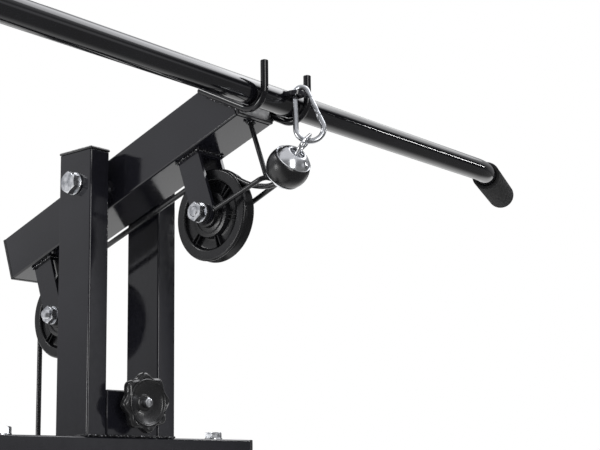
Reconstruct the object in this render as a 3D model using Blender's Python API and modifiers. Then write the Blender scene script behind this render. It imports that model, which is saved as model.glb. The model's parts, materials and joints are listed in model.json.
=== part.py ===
"""Plate-loaded multi gym with a seat, a leg lever and a lat tower, built as separate pieces.

Units are metres. The origin is on the floor under the mast's centre line.
+X is to the right of someone who faces the gym, +Y points to its back and +Z is up.
"""
import math

import bmesh
import bpy
from mathutils import Matrix, Vector

# Stock and clearances
GAP = 0.0003
TUBE = 0.050
TUBE_WALL = 0.002
TUBE_CORNER = 0.0022
CAP_FLANGE = 0.0045
CAP_EDGE = 0.0008
CAP_PLUG_DEPTH = 0.012
CAP_PLUG_WALL = 0.002
CAP_PLUG_CORNER = 0.0022
STOCK_EDGE = 0.003
THREAD_CLEARANCE = 0.0003

# Fasteners, as multiples of their thread's radius
WASHER_RADIUS_RATIO = 2.0
WASHER_THICKNESS_RATIO = 0.34
FLATS_RATIO = 3.4
HEAD_RATIO = 1.30
NUT_RATIO = 1.6

# Base frame
TOWER_HEIGHT = 1.680
REAR_REACH = 0.400
FRONT_FOOT_LENGTH = 0.560
REAR_FOOT_LENGTH = 0.700
CROSSBEAM_LENGTH = 0.367

# Guide rods and carriage
ROD_OFFSET = 0.1445
ROD_RADIUS = 0.0125
ROD_BOLT_RADIUS = 0.005
ROD_BOLT_DEPTH = 0.022
BUMPER_RADIUS = 0.022
BUMPER_HEIGHT = 0.035
BUMPER_EDGE = 0.004
BUMPER_WAIST = 0.003
SLEEVE_RADIUS = 0.019
SLEEVE_HEIGHT = 0.120
ARM_WIDTH = 0.030
ARM_HEIGHT = 0.036
YOKE_HEIGHT = 0.040
YOKE_DEPTH = 0.040
YOKE_OVERHANG = 0.024
PLATE_HORN_RADIUS = 0.0125
PLATE_HORN_LENGTH = 0.180
HORN_ROOT = 0.010
HORN_EDGE = 0.002
HORN_FLANGE_RADIUS = 0.032
HORN_FLANGE_THICKNESS = 0.006
CABLE_SOCKET_RADIUS = 0.009
CABLE_SOCKET_HEIGHT = 0.030
CABLE_SOCKET_ROOT = 0.004

# Lat tower
POST_WIDTH = 0.025
POST_GAP = 0.0704
POST_HEIGHT = 0.2935
POST_CAP_HEIGHT = 0.0035
POST_CAP_OVERHANG = 0.0008
BLOCK_HEIGHT = 0.0475
BEAM_ANGLE = math.radians(19.2)
BEAM_BOLT_HEIGHT = 0.2602
BEAM_BOLT_RADIUS = 0.006
BOLT_TAIL = 0.012
SPACER_RADIUS = 0.0114
POST_CAP_EDGE = 0.0012
BEAM_FRONT_REACH = 0.2030
BEAM_REAR_REACH = 0.1700

# Pulleys and their brackets, placed along the beam from its front end and square below its centre line
PULLEY_RADIUS = 0.0462
PULLEY_RIM_WIDTH = 0.0155
PULLEY_FLANGE_INNER_RADIUS = 0.0345
PULLEY_HUB_RADIUS = 0.0225
PULLEY_BOSS_RADIUS = 0.013
PULLEY_WEB_THICKNESS = 0.005
GROOVE_FLOOR_RADIUS = 0.0415
GROOVE_FLOOR_WIDTH = 0.0056
RIM_LIP = 0.0022
PULLEY_EDGE = 0.001
FRONT_PULLEY_ALONG = 0.0826
REAR_PULLEY_ALONG = 0.3245
PULLEY_DROP = 0.0904
AXLE_RADIUS = 0.005
AXLE_BOLT_TAIL = 0.0135
BRACKET_INSIDE = 0.027
BRACKET_THICKNESS = 0.004
BRACKET_WIDTH = 0.0285
BRACKET_BELOW_AXLE = 0.0103
AXLE_WASHERS = 0.0046

# Cable guard, a bent rod that the ball stop rests against
GUARD_RADIUS = 0.0025
GUARD_LENGTH = 0.0661
GUARD_FRONT_DROP = 0.0917
GUARD_REAR_DROP = 0.0931
GUARD_REAR_HALF_WIDTH = 0.0155
GUARD_FRONT_HALF_WIDTH = 0.0125
GUARD_BEND = 0.007
GUARD_SHOULDER = 0.012
GUARD_FLARE = 0.0005
STRUT_RADIUS = 0.0024
STRUT_ALONG = 0.0082
STRUT_SIDE = -0.0010
STRUT_FOOT_SIDE = -0.0083

# Lat bar and its hooks
BAR_RADIUS = 0.0125
BAR_ALONG = -0.0229
BAR_DROP = 0.0164
BAR_SIDE_SHIFT = 0.0153
BAR_STRAIGHT = 0.348
BAR_BEND_RADIUS = 0.085
BAR_BEND_ANGLE = math.radians(23.8)
BAR_ROLL = math.radians(6.0)
BAR_TILT = math.radians(0.2)
BAR_TAIL = 0.1485
GRIP_LENGTH = 0.141
GRIP_WALL = 0.0040
GRIP_END_WALL = 0.004
GRIP_EDGE = 0.004
GRIP_END_EDGE = 0.0015
HOOK_RADIUS = 0.0037
HOOK_BEND_RADIUS = 0.0187
HOOK_FRONT_REACH = 0.0196
HOOK_PRONG = 0.0263
HOOK_SPLAY = 0.0023
HOOK_LEG = 0.067
HOOK_LEG_ANGLE = math.radians(27.0)
EYE_REACH = 0.0200
EYE_RISE = 0.0032
EYE_SIDE = -0.0022
EYE_RADIUS = 0.0086
EYE_HOLE_RADIUS = 0.0044
EYE_THICKNESS = 0.0040
EYE_ROOT = 0.0090

# Carabiner, link and ball stop
WIRE_RADIUS = 0.0027
CARABINER_YAW = math.radians(50.0)
CARABINER_LEAN = math.radians(10.0)
CARABINER_TOP_RADIUS = 0.0063
CARABINER_BOTTOM_RADIUS = 0.0133
CARABINER_LENGTH = 0.0552
GATE_START = 0.16
GATE_LENGTH = 0.0205
GATE_HINGE_GAP = 0.0012
GATE_THINNER = 0.0001
LINK_RADIUS = 0.0015
LINK_HALF_WIDTH = 0.0052
LINK_SLACK = 0.004
LINK_CONTACT = math.radians(-13.0)
LINK_SOCKET_RADIUS = 0.0072
LINK_SOCKET_DEPTH = 0.0045
LINK_SOCKET_LAND = 0.0015
BALL_RADIUS = 0.0208
BALL_SIDE_SHIFT = -0.003
BALL_BELOW_GUARD = 0.0009
BALL_UPPER_ANGLE = math.radians(60.0)
BALL_LOWER_ANGLE = math.radians(55.0)
BALL_AXIS = Vector((-0.187, -0.788, 0.587)).normalized()
CABLE_BORE_DEPTH = 0.003
TAIL_LEAVES = math.radians(127.0)
TAIL_ROUTE = ((0.0291, 0.0840), (0.0125, 0.0945))
CABLE_RADIUS = 0.00275

# Clamp knob on the block between the posts
KNOB_HEIGHT = 0.0343
KNOB_DEPTH = 0.0240
KNOB_DISH_RADIUS = 0.0238
KNOB_DISH_DEPTH = 0.006
KNOB_LOBE_RADIUS = 0.0312
KNOB_LOBE_WAVE = 0.0040
KNOB_LOBES = 8
KNOB_PHASE = math.radians(6.5)
KNOB_LOBE_THICKNESS = 0.011
KNOB_HUB_RADIUS = 0.0115
KNOB_HUB_FLARE = 0.0138
KNOB_HUB_ROOT = 0.002
KNOB_SHOULDER = 0.007
KNOB_SCREW_RADIUS = 0.0049
KNOB_SCREW_REACH = 0.030
KNOB_SCREW_SHOWS = 0.0017
KNOB_SCREW_EDGE = 0.0008

# Seat, backrest and leg lever
SEAT_RAIL_TOP = 0.440
SEAT_POST_Y = -0.430
SEAT_WIDTH = 0.300
SEAT_LENGTH = 0.340
SEAT_THICKNESS = 0.060
SEAT_FRONT_OVERHANG = 0.020
BACK_WIDTH = 0.240
BACK_HEIGHT = 0.560
BACK_THICKNESS = 0.055
BACK_BOTTOM = 0.640
CUSHION_CROWN = 0.10
CUSHION_PINCH = 0.035
CUSHION_SHOULDER = 0.30
LUG_THICKNESS = 0.005
LUG_REACH = 0.062
LUG_HEIGHT = 0.044
LUG_ROOT = 0.006
SEAT_POST_BELOW_RAIL_TOP = 0.004
LEVER_TUBE = 0.040
LEVER_PIVOT_HEIGHT = 0.372
LEVER_PIVOT_FORWARD = 0.042
LEVER_LENGTH = 0.255
LEVER_ABOVE_PIVOT = 0.018
PIVOT_RADIUS = 0.006
ROLLER_RADIUS = 0.040
ROLLER_LENGTH = 0.150
ROLLER_AXLE_RADIUS = 0.0095
ROLLER_SPACE = 0.008
ROLLER_STOP = 0.004
ROLLER_STOP_RADIUS = 0.018
ROLLER_STOP_EDGE = 0.001
ROLLER_EDGE = 0.008
ROLLER_EDGE_STEP = 0.002
AXLE_ROOT = 0.001
UPPER_ROLLER_HEIGHT = 0.335
LEVER_HORN_LENGTH = 0.140
LEVER_HORN_DROP = 0.150

# Counts of facets
PULLEY_SIDES = 28
ROUND_SIDES = 24
ROLLER_SIDES = 20
WASHER_SIDES = 16
SMALL_SIDES = 12

PARTS = "multi_gym"
CUTTERS = "multi_gym_cutters"


def beam_place(along, drop, x=0.0):
    """A point given along the beam from its front end and square below its centre line."""
    c, s = math.cos(BEAM_ANGLE), math.sin(BEAM_ANGLE)
    front_y = -BEAM_FRONT_REACH * c
    front_z = TOWER_HEIGHT + BEAM_BOLT_HEIGHT + BEAM_FRONT_REACH * s
    return Vector((x, front_y + along * c - drop * s, front_z - along * s - drop * c))


def bracket_edge(drop):
    """Half the width of a bracket's cheek at a distance below the beam, down to its round end."""
    half = BRACKET_WIDTH / 2
    below = max(drop - (PULLEY_DROP + BRACKET_BELOW_AXLE - half), 0.0)
    return math.sqrt(max(half ** 2 - below ** 2, 0.0))


BEAM_LENGTH = BEAM_FRONT_REACH + BEAM_REAR_REACH - 2 * CAP_FLANGE
CABLE_CENTRE_RADIUS = GROOVE_FLOOR_RADIUS + GAP + CABLE_RADIUS
FRONT_AXLE = beam_place(FRONT_PULLEY_ALONG, PULLEY_DROP)
REAR_AXLE = beam_place(REAR_PULLEY_ALONG, PULLEY_DROP)
DROP_Y = REAR_AXLE.y + CABLE_CENTRE_RADIUS
BAR_CENTRE = beam_place(BAR_ALONG, BAR_DROP, BAR_SIDE_SHIFT)
EYE_CENTRE = BAR_CENTRE + Vector((EYE_SIDE, 0, EYE_RISE))
RAIL_TOP = TUBE
LOWER_BEAM_TOP = RAIL_TOP + GAP + TUBE
UPPER_BEAM_BOTTOM = TOWER_HEIGHT - TUBE
CARRIAGE_BOTTOM = LOWER_BEAM_TOP + BUMPER_HEIGHT + 2 * GAP
SEAT_POST_FRONT = SEAT_POST_Y - TUBE / 2
LEVER_Y = SEAT_POST_FRONT - LEVER_PIVOT_FORWARD
LEVER_AXLE_Z = LEVER_PIVOT_HEIGHT - LEVER_LENGTH
GUARD_REAR_ALONG = FRONT_PULLEY_ALONG - bracket_edge(GUARD_REAR_DROP - GUARD_RADIUS) - GAP
GUARD_FRONT_ALONG = GUARD_REAR_ALONG - GUARD_LENGTH
BALL_REACH = math.sqrt((GUARD_RADIUS + BALL_RADIUS + GAP) ** 2 - BALL_BELOW_GUARD ** 2)
BALL_CENTRE = beam_place(GUARD_FRONT_ALONG - BALL_REACH, GUARD_FRONT_DROP + BALL_BELOW_GUARD, BALL_SIDE_SHIFT)


def start():
    """Empties the scene and makes the two collections."""
    for obj in list(bpy.data.objects):
        bpy.data.objects.remove(obj, do_unlink=True)
    for name in (PARTS, CUTTERS):
        group = bpy.data.collections.new(name)
        bpy.context.scene.collection.children.link(group)


def material(name, colour, roughness, metallic=0.0):
    """One Principled material."""
    made = bpy.data.materials.new(name)
    made.use_nodes = True
    shader = made.node_tree.nodes["Principled BSDF"]
    shader.inputs["Base Color"].default_value = (*colour, 1.0)
    shader.inputs["Roughness"].default_value = roughness
    shader.inputs["Metallic"].default_value = metallic
    made.diffuse_color = (*colour, 1.0)
    return made


FINISHES = {
    "black": ((0.012, 0.012, 0.014), 0.22, 0.0),
    "zinc": ((0.72, 0.73, 0.75), 0.28, 1.0),
    "chrome": ((0.80, 0.81, 0.83), 0.10, 1.0),
    "plastic": ((0.018, 0.018, 0.020), 0.45, 0.0),
    "rubber": ((0.015, 0.015, 0.017), 0.55, 0.0),
    "foam": ((0.020, 0.020, 0.021), 0.90, 0.0),
    "vinyl": ((0.025, 0.025, 0.027), 0.50, 0.0),
}


def piece(name, mesh, finish, place=None, smooth=True):
    """Adds a part with its own material."""
    obj = bpy.data.objects.new(name, mesh)
    colour, roughness, metallic = FINISHES[finish]
    mesh.materials.clear()
    mesh.materials.append(material(name, colour, roughness, metallic))
    bpy.data.collections[PARTS].objects.link(obj)
    if place is not None:
        obj.matrix_world = place
    if smooth:
        mesh.shade_smooth()
        mesh.set_sharp_from_angle(angle=math.radians(35))
    return obj


def helper(name, mesh, place=None):
    """Adds a guide solid for a cut or a join. It is not a part."""
    obj = bpy.data.objects.new(name, mesh)
    bpy.data.collections[CUTTERS].objects.link(obj)
    if place is not None:
        obj.matrix_world = place
    obj.hide_render = True
    obj.display_type = "WIRE"
    return obj


def boolean(obj, other, operation):
    """Cuts or joins with the exact solver."""
    step = obj.modifiers.new(operation.lower(), "BOOLEAN")
    step.operation = operation
    step.object = other
    step.solver = "EXACT"
    return obj


def cut(obj, *others):
    for other in others:
        boolean(obj, other, "DIFFERENCE")
    return obj


def join(obj, *others):
    for other in others:
        boolean(obj, other, "UNION")
    return obj


def mesh_of(bm, name):
    mesh = bpy.data.meshes.new(name)
    bm.to_mesh(mesh)
    bm.free()
    return mesh


def box_mesh(name, low, high, bevel=0.0, segments=1):
    """A block between two corners, with its edges rounded."""
    bm = bmesh.new()
    bmesh.ops.create_cube(bm, size=1.0)
    low, high = Vector(low), Vector(high)
    size = high - low
    bmesh.ops.scale(bm, vec=size, verts=bm.verts)
    bmesh.ops.translate(bm, vec=(low + high) / 2, verts=bm.verts)
    if bevel:
        bmesh.ops.bevel(bm, geom=bm.edges[:], offset=bevel, segments=segments, profile=0.5, affect="EDGES")
    return mesh_of(bm, name)


def rod_mesh(name, radius, length, sides=ROUND_SIDES, bevel=0.0):
    """A round bar along its own +Z from 0 to its length, with both rims chamfered."""
    bm = bmesh.new()
    bmesh.ops.create_cone(
        bm, cap_ends=True, segments=sides, radius1=radius, radius2=radius, depth=length,
        matrix=Matrix.Translation((0, 0, length / 2)),
    )
    if bevel:
        rims = [e for e in bm.edges if abs(e.verts[0].co.z - e.verts[1].co.z) < length / 4]
        bmesh.ops.bevel(bm, geom=rims, offset=bevel, segments=1, profile=0.5, affect="EDGES")
    return mesh_of(bm, name)


def tube_mesh(name, width, depth, length, corner=TUBE_CORNER):
    """The outer skin of a rectangular tube along its own +Z, open at both ends."""
    bm = bmesh.new()
    bmesh.ops.create_cube(bm, size=1.0, matrix=Matrix.Translation((0, 0, 0.5)))
    bmesh.ops.scale(bm, vec=(width, depth, length), verts=bm.verts)
    ends = [f for f in bm.faces if abs(f.normal.z) > 0.5]
    bmesh.ops.delete(bm, geom=ends, context="FACES_ONLY")
    edges = [e for e in bm.edges if abs(e.verts[0].co.z - e.verts[1].co.z) > length / 2]
    bmesh.ops.bevel(bm, geom=edges, offset=corner, segments=3, profile=0.5, affect="EDGES")
    return mesh_of(bm, name)


def tube(name, width, depth, length, place, finish="black"):
    """A rectangular steel tube with an even wall."""
    obj = piece(name, tube_mesh(name, width, depth, length), finish, place)
    wall = obj.modifiers.new("wall", "SOLIDIFY")
    wall.thickness = TUBE_WALL
    wall.offset = -1.0
    wall.use_even_offset = True
    return obj


def turn_to(axis, at=(0, 0, 0)):
    """A placement whose own +Z points along an axis."""
    return Matrix.Translation(at) @ Vector(axis).normalized().to_track_quat("Z", "Y").to_matrix().to_4x4()


def evaluated(obj, name):
    """The object's finished mesh, with loose caps welded. The object itself is removed."""
    bpy.context.view_layer.update()
    graph = bpy.context.evaluated_depsgraph_get()
    mesh = bpy.data.meshes.new_from_object(obj.evaluated_get(graph))
    bpy.data.objects.remove(obj, do_unlink=True)
    bm = bmesh.new()
    bm.from_mesh(mesh)
    bpy.data.meshes.remove(mesh)
    bmesh.ops.remove_doubles(bm, verts=bm.verts, dist=0.00001)
    bmesh.ops.recalc_face_normals(bm, faces=bm.faces)
    return mesh_of(bm, name)


def wire_mesh(name, points, radius, resolution=2, cyclic=False):
    """A round wire or bent tube that follows a list of points."""
    data = bpy.data.curves.new(name + "_path", "CURVE")
    data.dimensions = "3D"
    data.bevel_depth = radius
    data.bevel_resolution = resolution
    data.use_fill_caps = True
    data.twist_mode = "MINIMUM"
    spline = data.splines.new("POLY")
    spline.points.add(len(points) - 1)
    for slot, point in zip(spline.points, points):
        slot.co = (*point, 1.0)
    spline.use_cyclic_u = cyclic
    obj = bpy.data.objects.new(name + "_path", data)
    bpy.context.scene.collection.objects.link(obj)
    return evaluated(obj, name)


def plate_mesh(name, points, thickness):
    """A flat outline given thickness either side of its own XY plane."""
    data = bpy.data.curves.new(name + "_outline", "CURVE")
    data.dimensions = "2D"
    data.fill_mode = "BOTH"
    data.extrude = thickness / 2
    spline = data.splines.new("POLY")
    spline.points.add(len(points) - 1)
    for slot, (x, y) in zip(spline.points, points):
        slot.co = (x, y, 0.0, 1.0)
    spline.use_cyclic_u = True
    obj = bpy.data.objects.new(name + "_outline", data)
    bpy.context.scene.collection.objects.link(obj)
    return evaluated(obj, name)


def turned_mesh(name, profile, sides=ROUND_SIDES, closed=False):
    """A shape turned about its own Z from (radius, height) points that run down the outside."""
    mesh = bpy.data.meshes.new(name + "_profile")
    edges = [(i, i + 1) for i in range(len(profile) - 1)]
    if closed:
        edges.append((len(profile) - 1, 0))
    mesh.from_pydata([(r, 0.0, z) for r, z in profile], edges, [])
    obj = bpy.data.objects.new(name + "_profile", mesh)
    bpy.context.scene.collection.objects.link(obj)
    screw = obj.modifiers.new("turn", "SCREW")
    screw.axis = "Z"
    screw.angle = math.tau
    screw.steps = sides
    screw.render_steps = sides
    screw.use_merge_vertices = True
    screw.merge_threshold = 0.00001
    return evaluated(obj, name)


def arc(centre, radius, first, last, steps):
    """Points of an arc in a plane, by angles in radians."""
    turns = [first + (last - first) * i / steps for i in range(steps + 1)]
    return [(centre[0] + radius * math.cos(a), centre[1] + radius * math.sin(a)) for a in turns]


def hex_mesh(name, across_flats, height):
    """A hexagonal prism along its own +Z with its outer rims chamfered."""
    bm = bmesh.new()
    corner = across_flats / math.sqrt(3)
    bmesh.ops.create_cone(
        bm, cap_ends=True, segments=6, radius1=corner, radius2=corner, depth=height,
        matrix=Matrix.Translation((0, 0, height / 2)),
    )
    rims = [e for e in bm.edges if min(v.co.z for v in e.verts) > height * 0.9]
    bmesh.ops.bevel(bm, geom=rims, offset=height * 0.09, segments=1, profile=0.5, affect="EDGES")
    return mesh_of(bm, name)


def bolt(name, radius, grip_length, place, tail=0.0, nut=False):
    """A hex bolt: own z = 0 is the seat under its washer, and its shank runs along -Z.

    With nut it also carries its washer and nut at the far end of the grip length.
    """
    washer = radius * WASHER_THICKNESS_RATIO
    wide = radius * WASHER_RADIUS_RATIO
    head = radius * HEAD_RATIO
    flats = radius * FLATS_RATIO
    seat = Matrix.Translation((0, 0, washer - GAP))
    shank_end = grip_length + tail
    shank = rod_mesh(name, radius, shank_end + washer, SMALL_SIDES)
    obj = piece(name, shank, "zinc", place @ Matrix.Translation((0, 0, -shank_end)))
    over = place @ Matrix.Translation((0, 0, GAP))
    join(
        obj,
        helper(name + "_washer", rod_mesh(name, wide, washer, WASHER_SIDES), over),
        helper(name + "_head", hex_mesh(name, flats, head), over @ seat),
    )
    if nut:
        under = place @ Matrix.Translation((0, 0, -grip_length - GAP)) @ Matrix.Rotation(math.pi, 4, "X")
        join(
            obj,
            helper(name + "_far_washer", rod_mesh(name, wide, washer, WASHER_SIDES), under),
            helper(name + "_nut", hex_mesh(name, flats, head), under @ seat),
        )
    return obj


def nut(name, radius, washers, place):
    """A hex nut with its stack of washers, threaded on a bolt. Own z = 0 is the washers' seat."""
    seat = place @ Matrix.Translation((0, 0, washers - GAP))
    height = radius * NUT_RATIO
    obj = piece(name, hex_mesh(name, radius * FLATS_RATIO, height), "zinc", seat)
    join(obj, helper(name + "_washer", rod_mesh(name, radius * WASHER_RADIUS_RATIO, washers, ROLLER_SIDES), place))
    bore = rod_mesh(name, radius + THREAD_CLEARANCE, washers + height + 2 * radius, SMALL_SIDES)
    return cut(obj, helper(name + "_bore", bore, place @ Matrix.Translation((0, 0, -radius))))


def hole(name, radius, start_at, axis, length, sides=SMALL_SIDES):
    """A round cutter from a point along an axis."""
    return helper(name, rod_mesh(name, radius, length, sides), turn_to(axis, start_at))


def end_cap(name, width, depth, place):
    """A moulded plug for a tube's end. Own +Z points out of the tube and z = 0 is the tube's end."""
    flange = box_mesh(name, (-width / 2, -depth / 2, GAP), (width / 2, depth / 2, CAP_FLANGE), CAP_EDGE)
    obj = piece(name, flange, "plastic", place)
    half_x, half_y = width / 2 - TUBE_WALL - GAP, depth / 2 - TUBE_WALL - GAP
    low, high = (-half_x, -half_y, -CAP_PLUG_DEPTH), (half_x, half_y, CAP_FLANGE / 2)
    plug = box_mesh(name, low, high, CAP_PLUG_CORNER)
    join(obj, helper(name + "_plug", plug, place))
    hollow_x, hollow_y = half_x - CAP_PLUG_WALL, half_y - CAP_PLUG_WALL
    hollow = box_mesh(name, (-hollow_x, -hollow_y, -CAP_PLUG_DEPTH * 2), (hollow_x, hollow_y, -GAP))
    return cut(obj, helper(name + "_hollow", hollow, place))


def cushion(name, width, length, thickness, place):
    """A padded cushion: own XY is its plan and +Z its crowned face; z = 0 is its flat back."""
    bm = bmesh.new()
    bmesh.ops.create_cube(bm, size=2.0)
    bmesh.ops.subdivide_edges(bm, edges=bm.edges[:], cuts=3, use_grid_fill=True)
    for vert in bm.verts:
        u, v, w = vert.co
        crown = (1 - u ** 4) * (1 - v ** 4)
        side = (1 - abs(w)) * CUSHION_PINCH
        top = w > 0
        x = u * width / 2 * (1 - side * (1 - v * v) * 0.5)
        y = v * length / 2 * (1 - side * (1 - u * u) * 0.5)
        swell = CUSHION_CROWN * crown if top else 0.0
        round_off = 1.0 - CUSHION_SHOULDER * max(abs(u), abs(v)) ** 6 if top else 1.0
        z = thickness * ((w + 1) / 2) * (1 - CUSHION_CROWN + swell) * round_off
        vert.co = (x, y, z)
    obj = piece(name, mesh_of(bm, name), "vinyl", place)
    soft = obj.modifiers.new("soft", "SUBSURF")
    soft.levels = 1
    soft.render_levels = 1
    return obj


def make_base():
    """Feet, floor rail, lower crossbeam, mast and upper crossbeam."""
    across = turn_to((1, 0, 0))
    back = turn_to((0, 1, 0))
    rear_y = REAR_REACH - TUBE / 2
    front_y = SEAT_POST_Y
    feet = (("front_foot", front_y, FRONT_FOOT_LENGTH), ("rear_foot", rear_y, REAR_FOOT_LENGTH))
    for name, y, length in feet:
        tube(name, TUBE, TUBE, length, Matrix.Translation((-length / 2, y, TUBE / 2)) @ across)
    rail_start = front_y + TUBE / 2 + GAP
    rail_length = rear_y - TUBE / 2 - GAP - rail_start
    tube("floor_rail", TUBE, TUBE, rail_length, Matrix.Translation((0, rail_start, TUBE / 2)) @ back)
    tube(
        "lower_crossbeam", TUBE, TUBE, CROSSBEAM_LENGTH,
        Matrix.Translation((-CROSSBEAM_LENGTH / 2, 0, LOWER_BEAM_TOP - TUBE / 2)) @ across,
    )
    steel = CROSSBEAM_LENGTH - 2 * CAP_FLANGE
    upper = tube(
        "crossbeam", TUBE, TUBE, steel,
        Matrix.Translation((-steel / 2, 0, TOWER_HEIGHT - TUBE / 2)) @ across,
    )
    for side, word in ((-1, "left"), (1, "right")):
        end_cap(
            "crossbeam_cap_" + word, TUBE, TUBE,
            turn_to((side, 0, 0), (side * steel / 2, 0, TOWER_HEIGHT - TUBE / 2)),
        )
        at = (side * ROD_OFFSET, 0, TOWER_HEIGHT - 2 * TUBE)
        cut(upper, hole("rod_bolt_hole_" + word, ROD_BOLT_RADIUS + THREAD_CLEARANCE, at, (0, 0, 1), 3 * TUBE))
    mast_length = UPPER_BEAM_BOTTOM - LOWER_BEAM_TOP - 2 * GAP
    tube("mast", TUBE, TUBE, mast_length, Matrix.Translation((0, 0, LOWER_BEAM_TOP + GAP)))


def make_guides():
    """Chrome guide rods, the bolts that hold them and the rubber bumpers."""
    length = UPPER_BEAM_BOTTOM - LOWER_BEAM_TOP - 2 * GAP
    for side, word in ((-1, "left"), (1, "right")):
        x = side * ROD_OFFSET
        base = (x, 0, LOWER_BEAM_TOP + GAP)
        rod = piece("guide_rod_" + word, rod_mesh("rod", ROD_RADIUS, length), "chrome", Matrix.Translation(base))
        bore_start = (x, 0, UPPER_BEAM_BOTTOM - ROD_BOLT_DEPTH - 2 * GAP)
        cut(rod, hole("rod_thread_" + word, ROD_BOLT_RADIUS + THREAD_CLEARANCE, bore_start, (0, 0, 1), TUBE))
        bolt(
            "rod_bolt_" + word, ROD_BOLT_RADIUS, TUBE, Matrix.Translation((x, 0, TOWER_HEIGHT)),
            tail=ROD_BOLT_DEPTH,
        )
        inner = ROD_RADIUS + GAP
        outer, top, edge = BUMPER_RADIUS, BUMPER_HEIGHT, BUMPER_EDGE
        ring = [
            (outer - edge, top), (outer, top - edge), (outer - BUMPER_WAIST, top / 2), (outer, edge),
            (outer - edge, 0.0), (inner, 0.0), (inner, top),
        ]
        bumper = turned_mesh("bumper", ring, ROLLER_SIDES, closed=True)
        piece("bumper_" + word, bumper, "rubber", Matrix.Translation(base))


def make_carriage():
    """The sliding carriage: two sleeves, side arms, a yoke with plate horns and the cable's socket."""
    middle = CARRIAGE_BOTTOM + SLEEVE_HEIGHT / 2
    yoke_low, yoke_high = middle - YOKE_HEIGHT / 2, middle + YOKE_HEIGHT / 2
    reach = ROD_OFFSET + YOKE_OVERHANG
    front, back = DROP_Y - YOKE_DEPTH / 2, DROP_Y + YOKE_DEPTH / 2
    yoke = box_mesh("carriage", (-reach, front, yoke_low), (reach, back, yoke_high), STOCK_EDGE)
    obj = piece("carriage", yoke, "black")
    for side, word in ((-1, "left"), (1, "right")):
        x = side * ROD_OFFSET
        sleeve = rod_mesh("sleeve", SLEEVE_RADIUS, SLEEVE_HEIGHT)
        arm = box_mesh(
            "arm", (x - ARM_WIDTH / 2, 0, middle - ARM_HEIGHT / 2),
            (x + ARM_WIDTH / 2, DROP_Y - YOKE_DEPTH / 4, middle + ARM_HEIGHT / 2),
        )
        tip = side * (reach - HORN_FLANGE_THICKNESS / 2)
        horn = rod_mesh("horn", PLATE_HORN_RADIUS, HORN_ROOT + PLATE_HORN_LENGTH, WASHER_SIDES, HORN_EDGE)
        horn_at = (side * (reach - HORN_ROOT), DROP_Y, middle)
        flange = rod_mesh("flange", HORN_FLANGE_RADIUS, HORN_FLANGE_THICKNESS, ROLLER_SIDES)
        join(
            obj,
            helper("sleeve_" + word, sleeve, Matrix.Translation((x, 0, CARRIAGE_BOTTOM))),
            helper("arm_" + word, arm),
            helper("horn_" + word, horn, turn_to((side, 0, 0), horn_at)),
            helper("horn_flange_" + word, flange, turn_to((side, 0, 0), (tip, DROP_Y, middle))),
        )
        bore_start = (x, 0, CARRIAGE_BOTTOM - ROD_RADIUS)
        bore = rod_mesh("sleeve_bore", ROD_RADIUS + GAP, SLEEVE_HEIGHT + 2 * ROD_RADIUS)
        cut(obj, helper("sleeve_bore_" + word, bore, Matrix.Translation(bore_start)))
    socket = rod_mesh("socket", CABLE_SOCKET_RADIUS, CABLE_SOCKET_HEIGHT + CABLE_SOCKET_ROOT, SMALL_SIDES)
    join(obj, helper("cable_socket", socket, Matrix.Translation((0, DROP_Y, yoke_high - CABLE_SOCKET_ROOT))))
    return yoke_high + CABLE_SOCKET_HEIGHT


def make_posts():
    """The two tower posts with their caps, and the block between them."""
    post_x = POST_GAP / 2 + POST_WIDTH / 2
    bolt_z = TOWER_HEIGHT + BEAM_BOLT_HEIGHT
    start_x = -POST_GAP / 2 - 2 * POST_WIDTH
    for side, word in ((-1, "left"), (1, "right")):
        x = side * post_x
        foot = Matrix.Translation((x, 0, TOWER_HEIGHT + GAP))
        post = tube("post_" + word, POST_WIDTH, TUBE, POST_HEIGHT - GAP, foot)
        cut(post, hole("post_hole_" + word, BEAM_BOLT_RADIUS + GAP, (start_x, 0, bolt_z), (1, 0, 0), -2 * start_x))
        top = Matrix.Translation((x, 0, TOWER_HEIGHT + POST_HEIGHT))
        wide, deep = POST_WIDTH / 2 + POST_CAP_OVERHANG, TUBE / 2 + POST_CAP_OVERHANG
        lid = box_mesh("lid", (-wide, -deep, GAP), (wide, deep, POST_CAP_HEIGHT), POST_CAP_EDGE)
        cap = piece("post_cap_" + word, lid, "plastic", top)
        in_x, in_y = POST_WIDTH / 2 - TUBE_WALL - GAP, TUBE / 2 - TUBE_WALL - GAP
        plug = box_mesh(
            "plug", (-in_x, -in_y, -CAP_PLUG_DEPTH), (in_x, in_y, POST_CAP_HEIGHT / 2), CAP_PLUG_CORNER
        )
        join(cap, helper("post_cap_plug_" + word, plug, top))
    half = POST_GAP / 2 - GAP
    low, high = TOWER_HEIGHT + GAP, TOWER_HEIGHT + BLOCK_HEIGHT
    block = box_mesh("clamp_block", (-half, -TUBE / 2, low), (half, TUBE / 2, high), POST_CAP_EDGE)
    obj = piece("clamp_block", block, "black")
    deep = KNOB_SCREW_REACH + THREAD_CLEARANCE
    start_at = (0, -TUBE / 2 + deep, TOWER_HEIGHT + KNOB_HEIGHT)
    cut(obj, hole("block_thread", KNOB_SCREW_RADIUS + THREAD_CLEARANCE, start_at, (0, -1, 0), TUBE))


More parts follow.
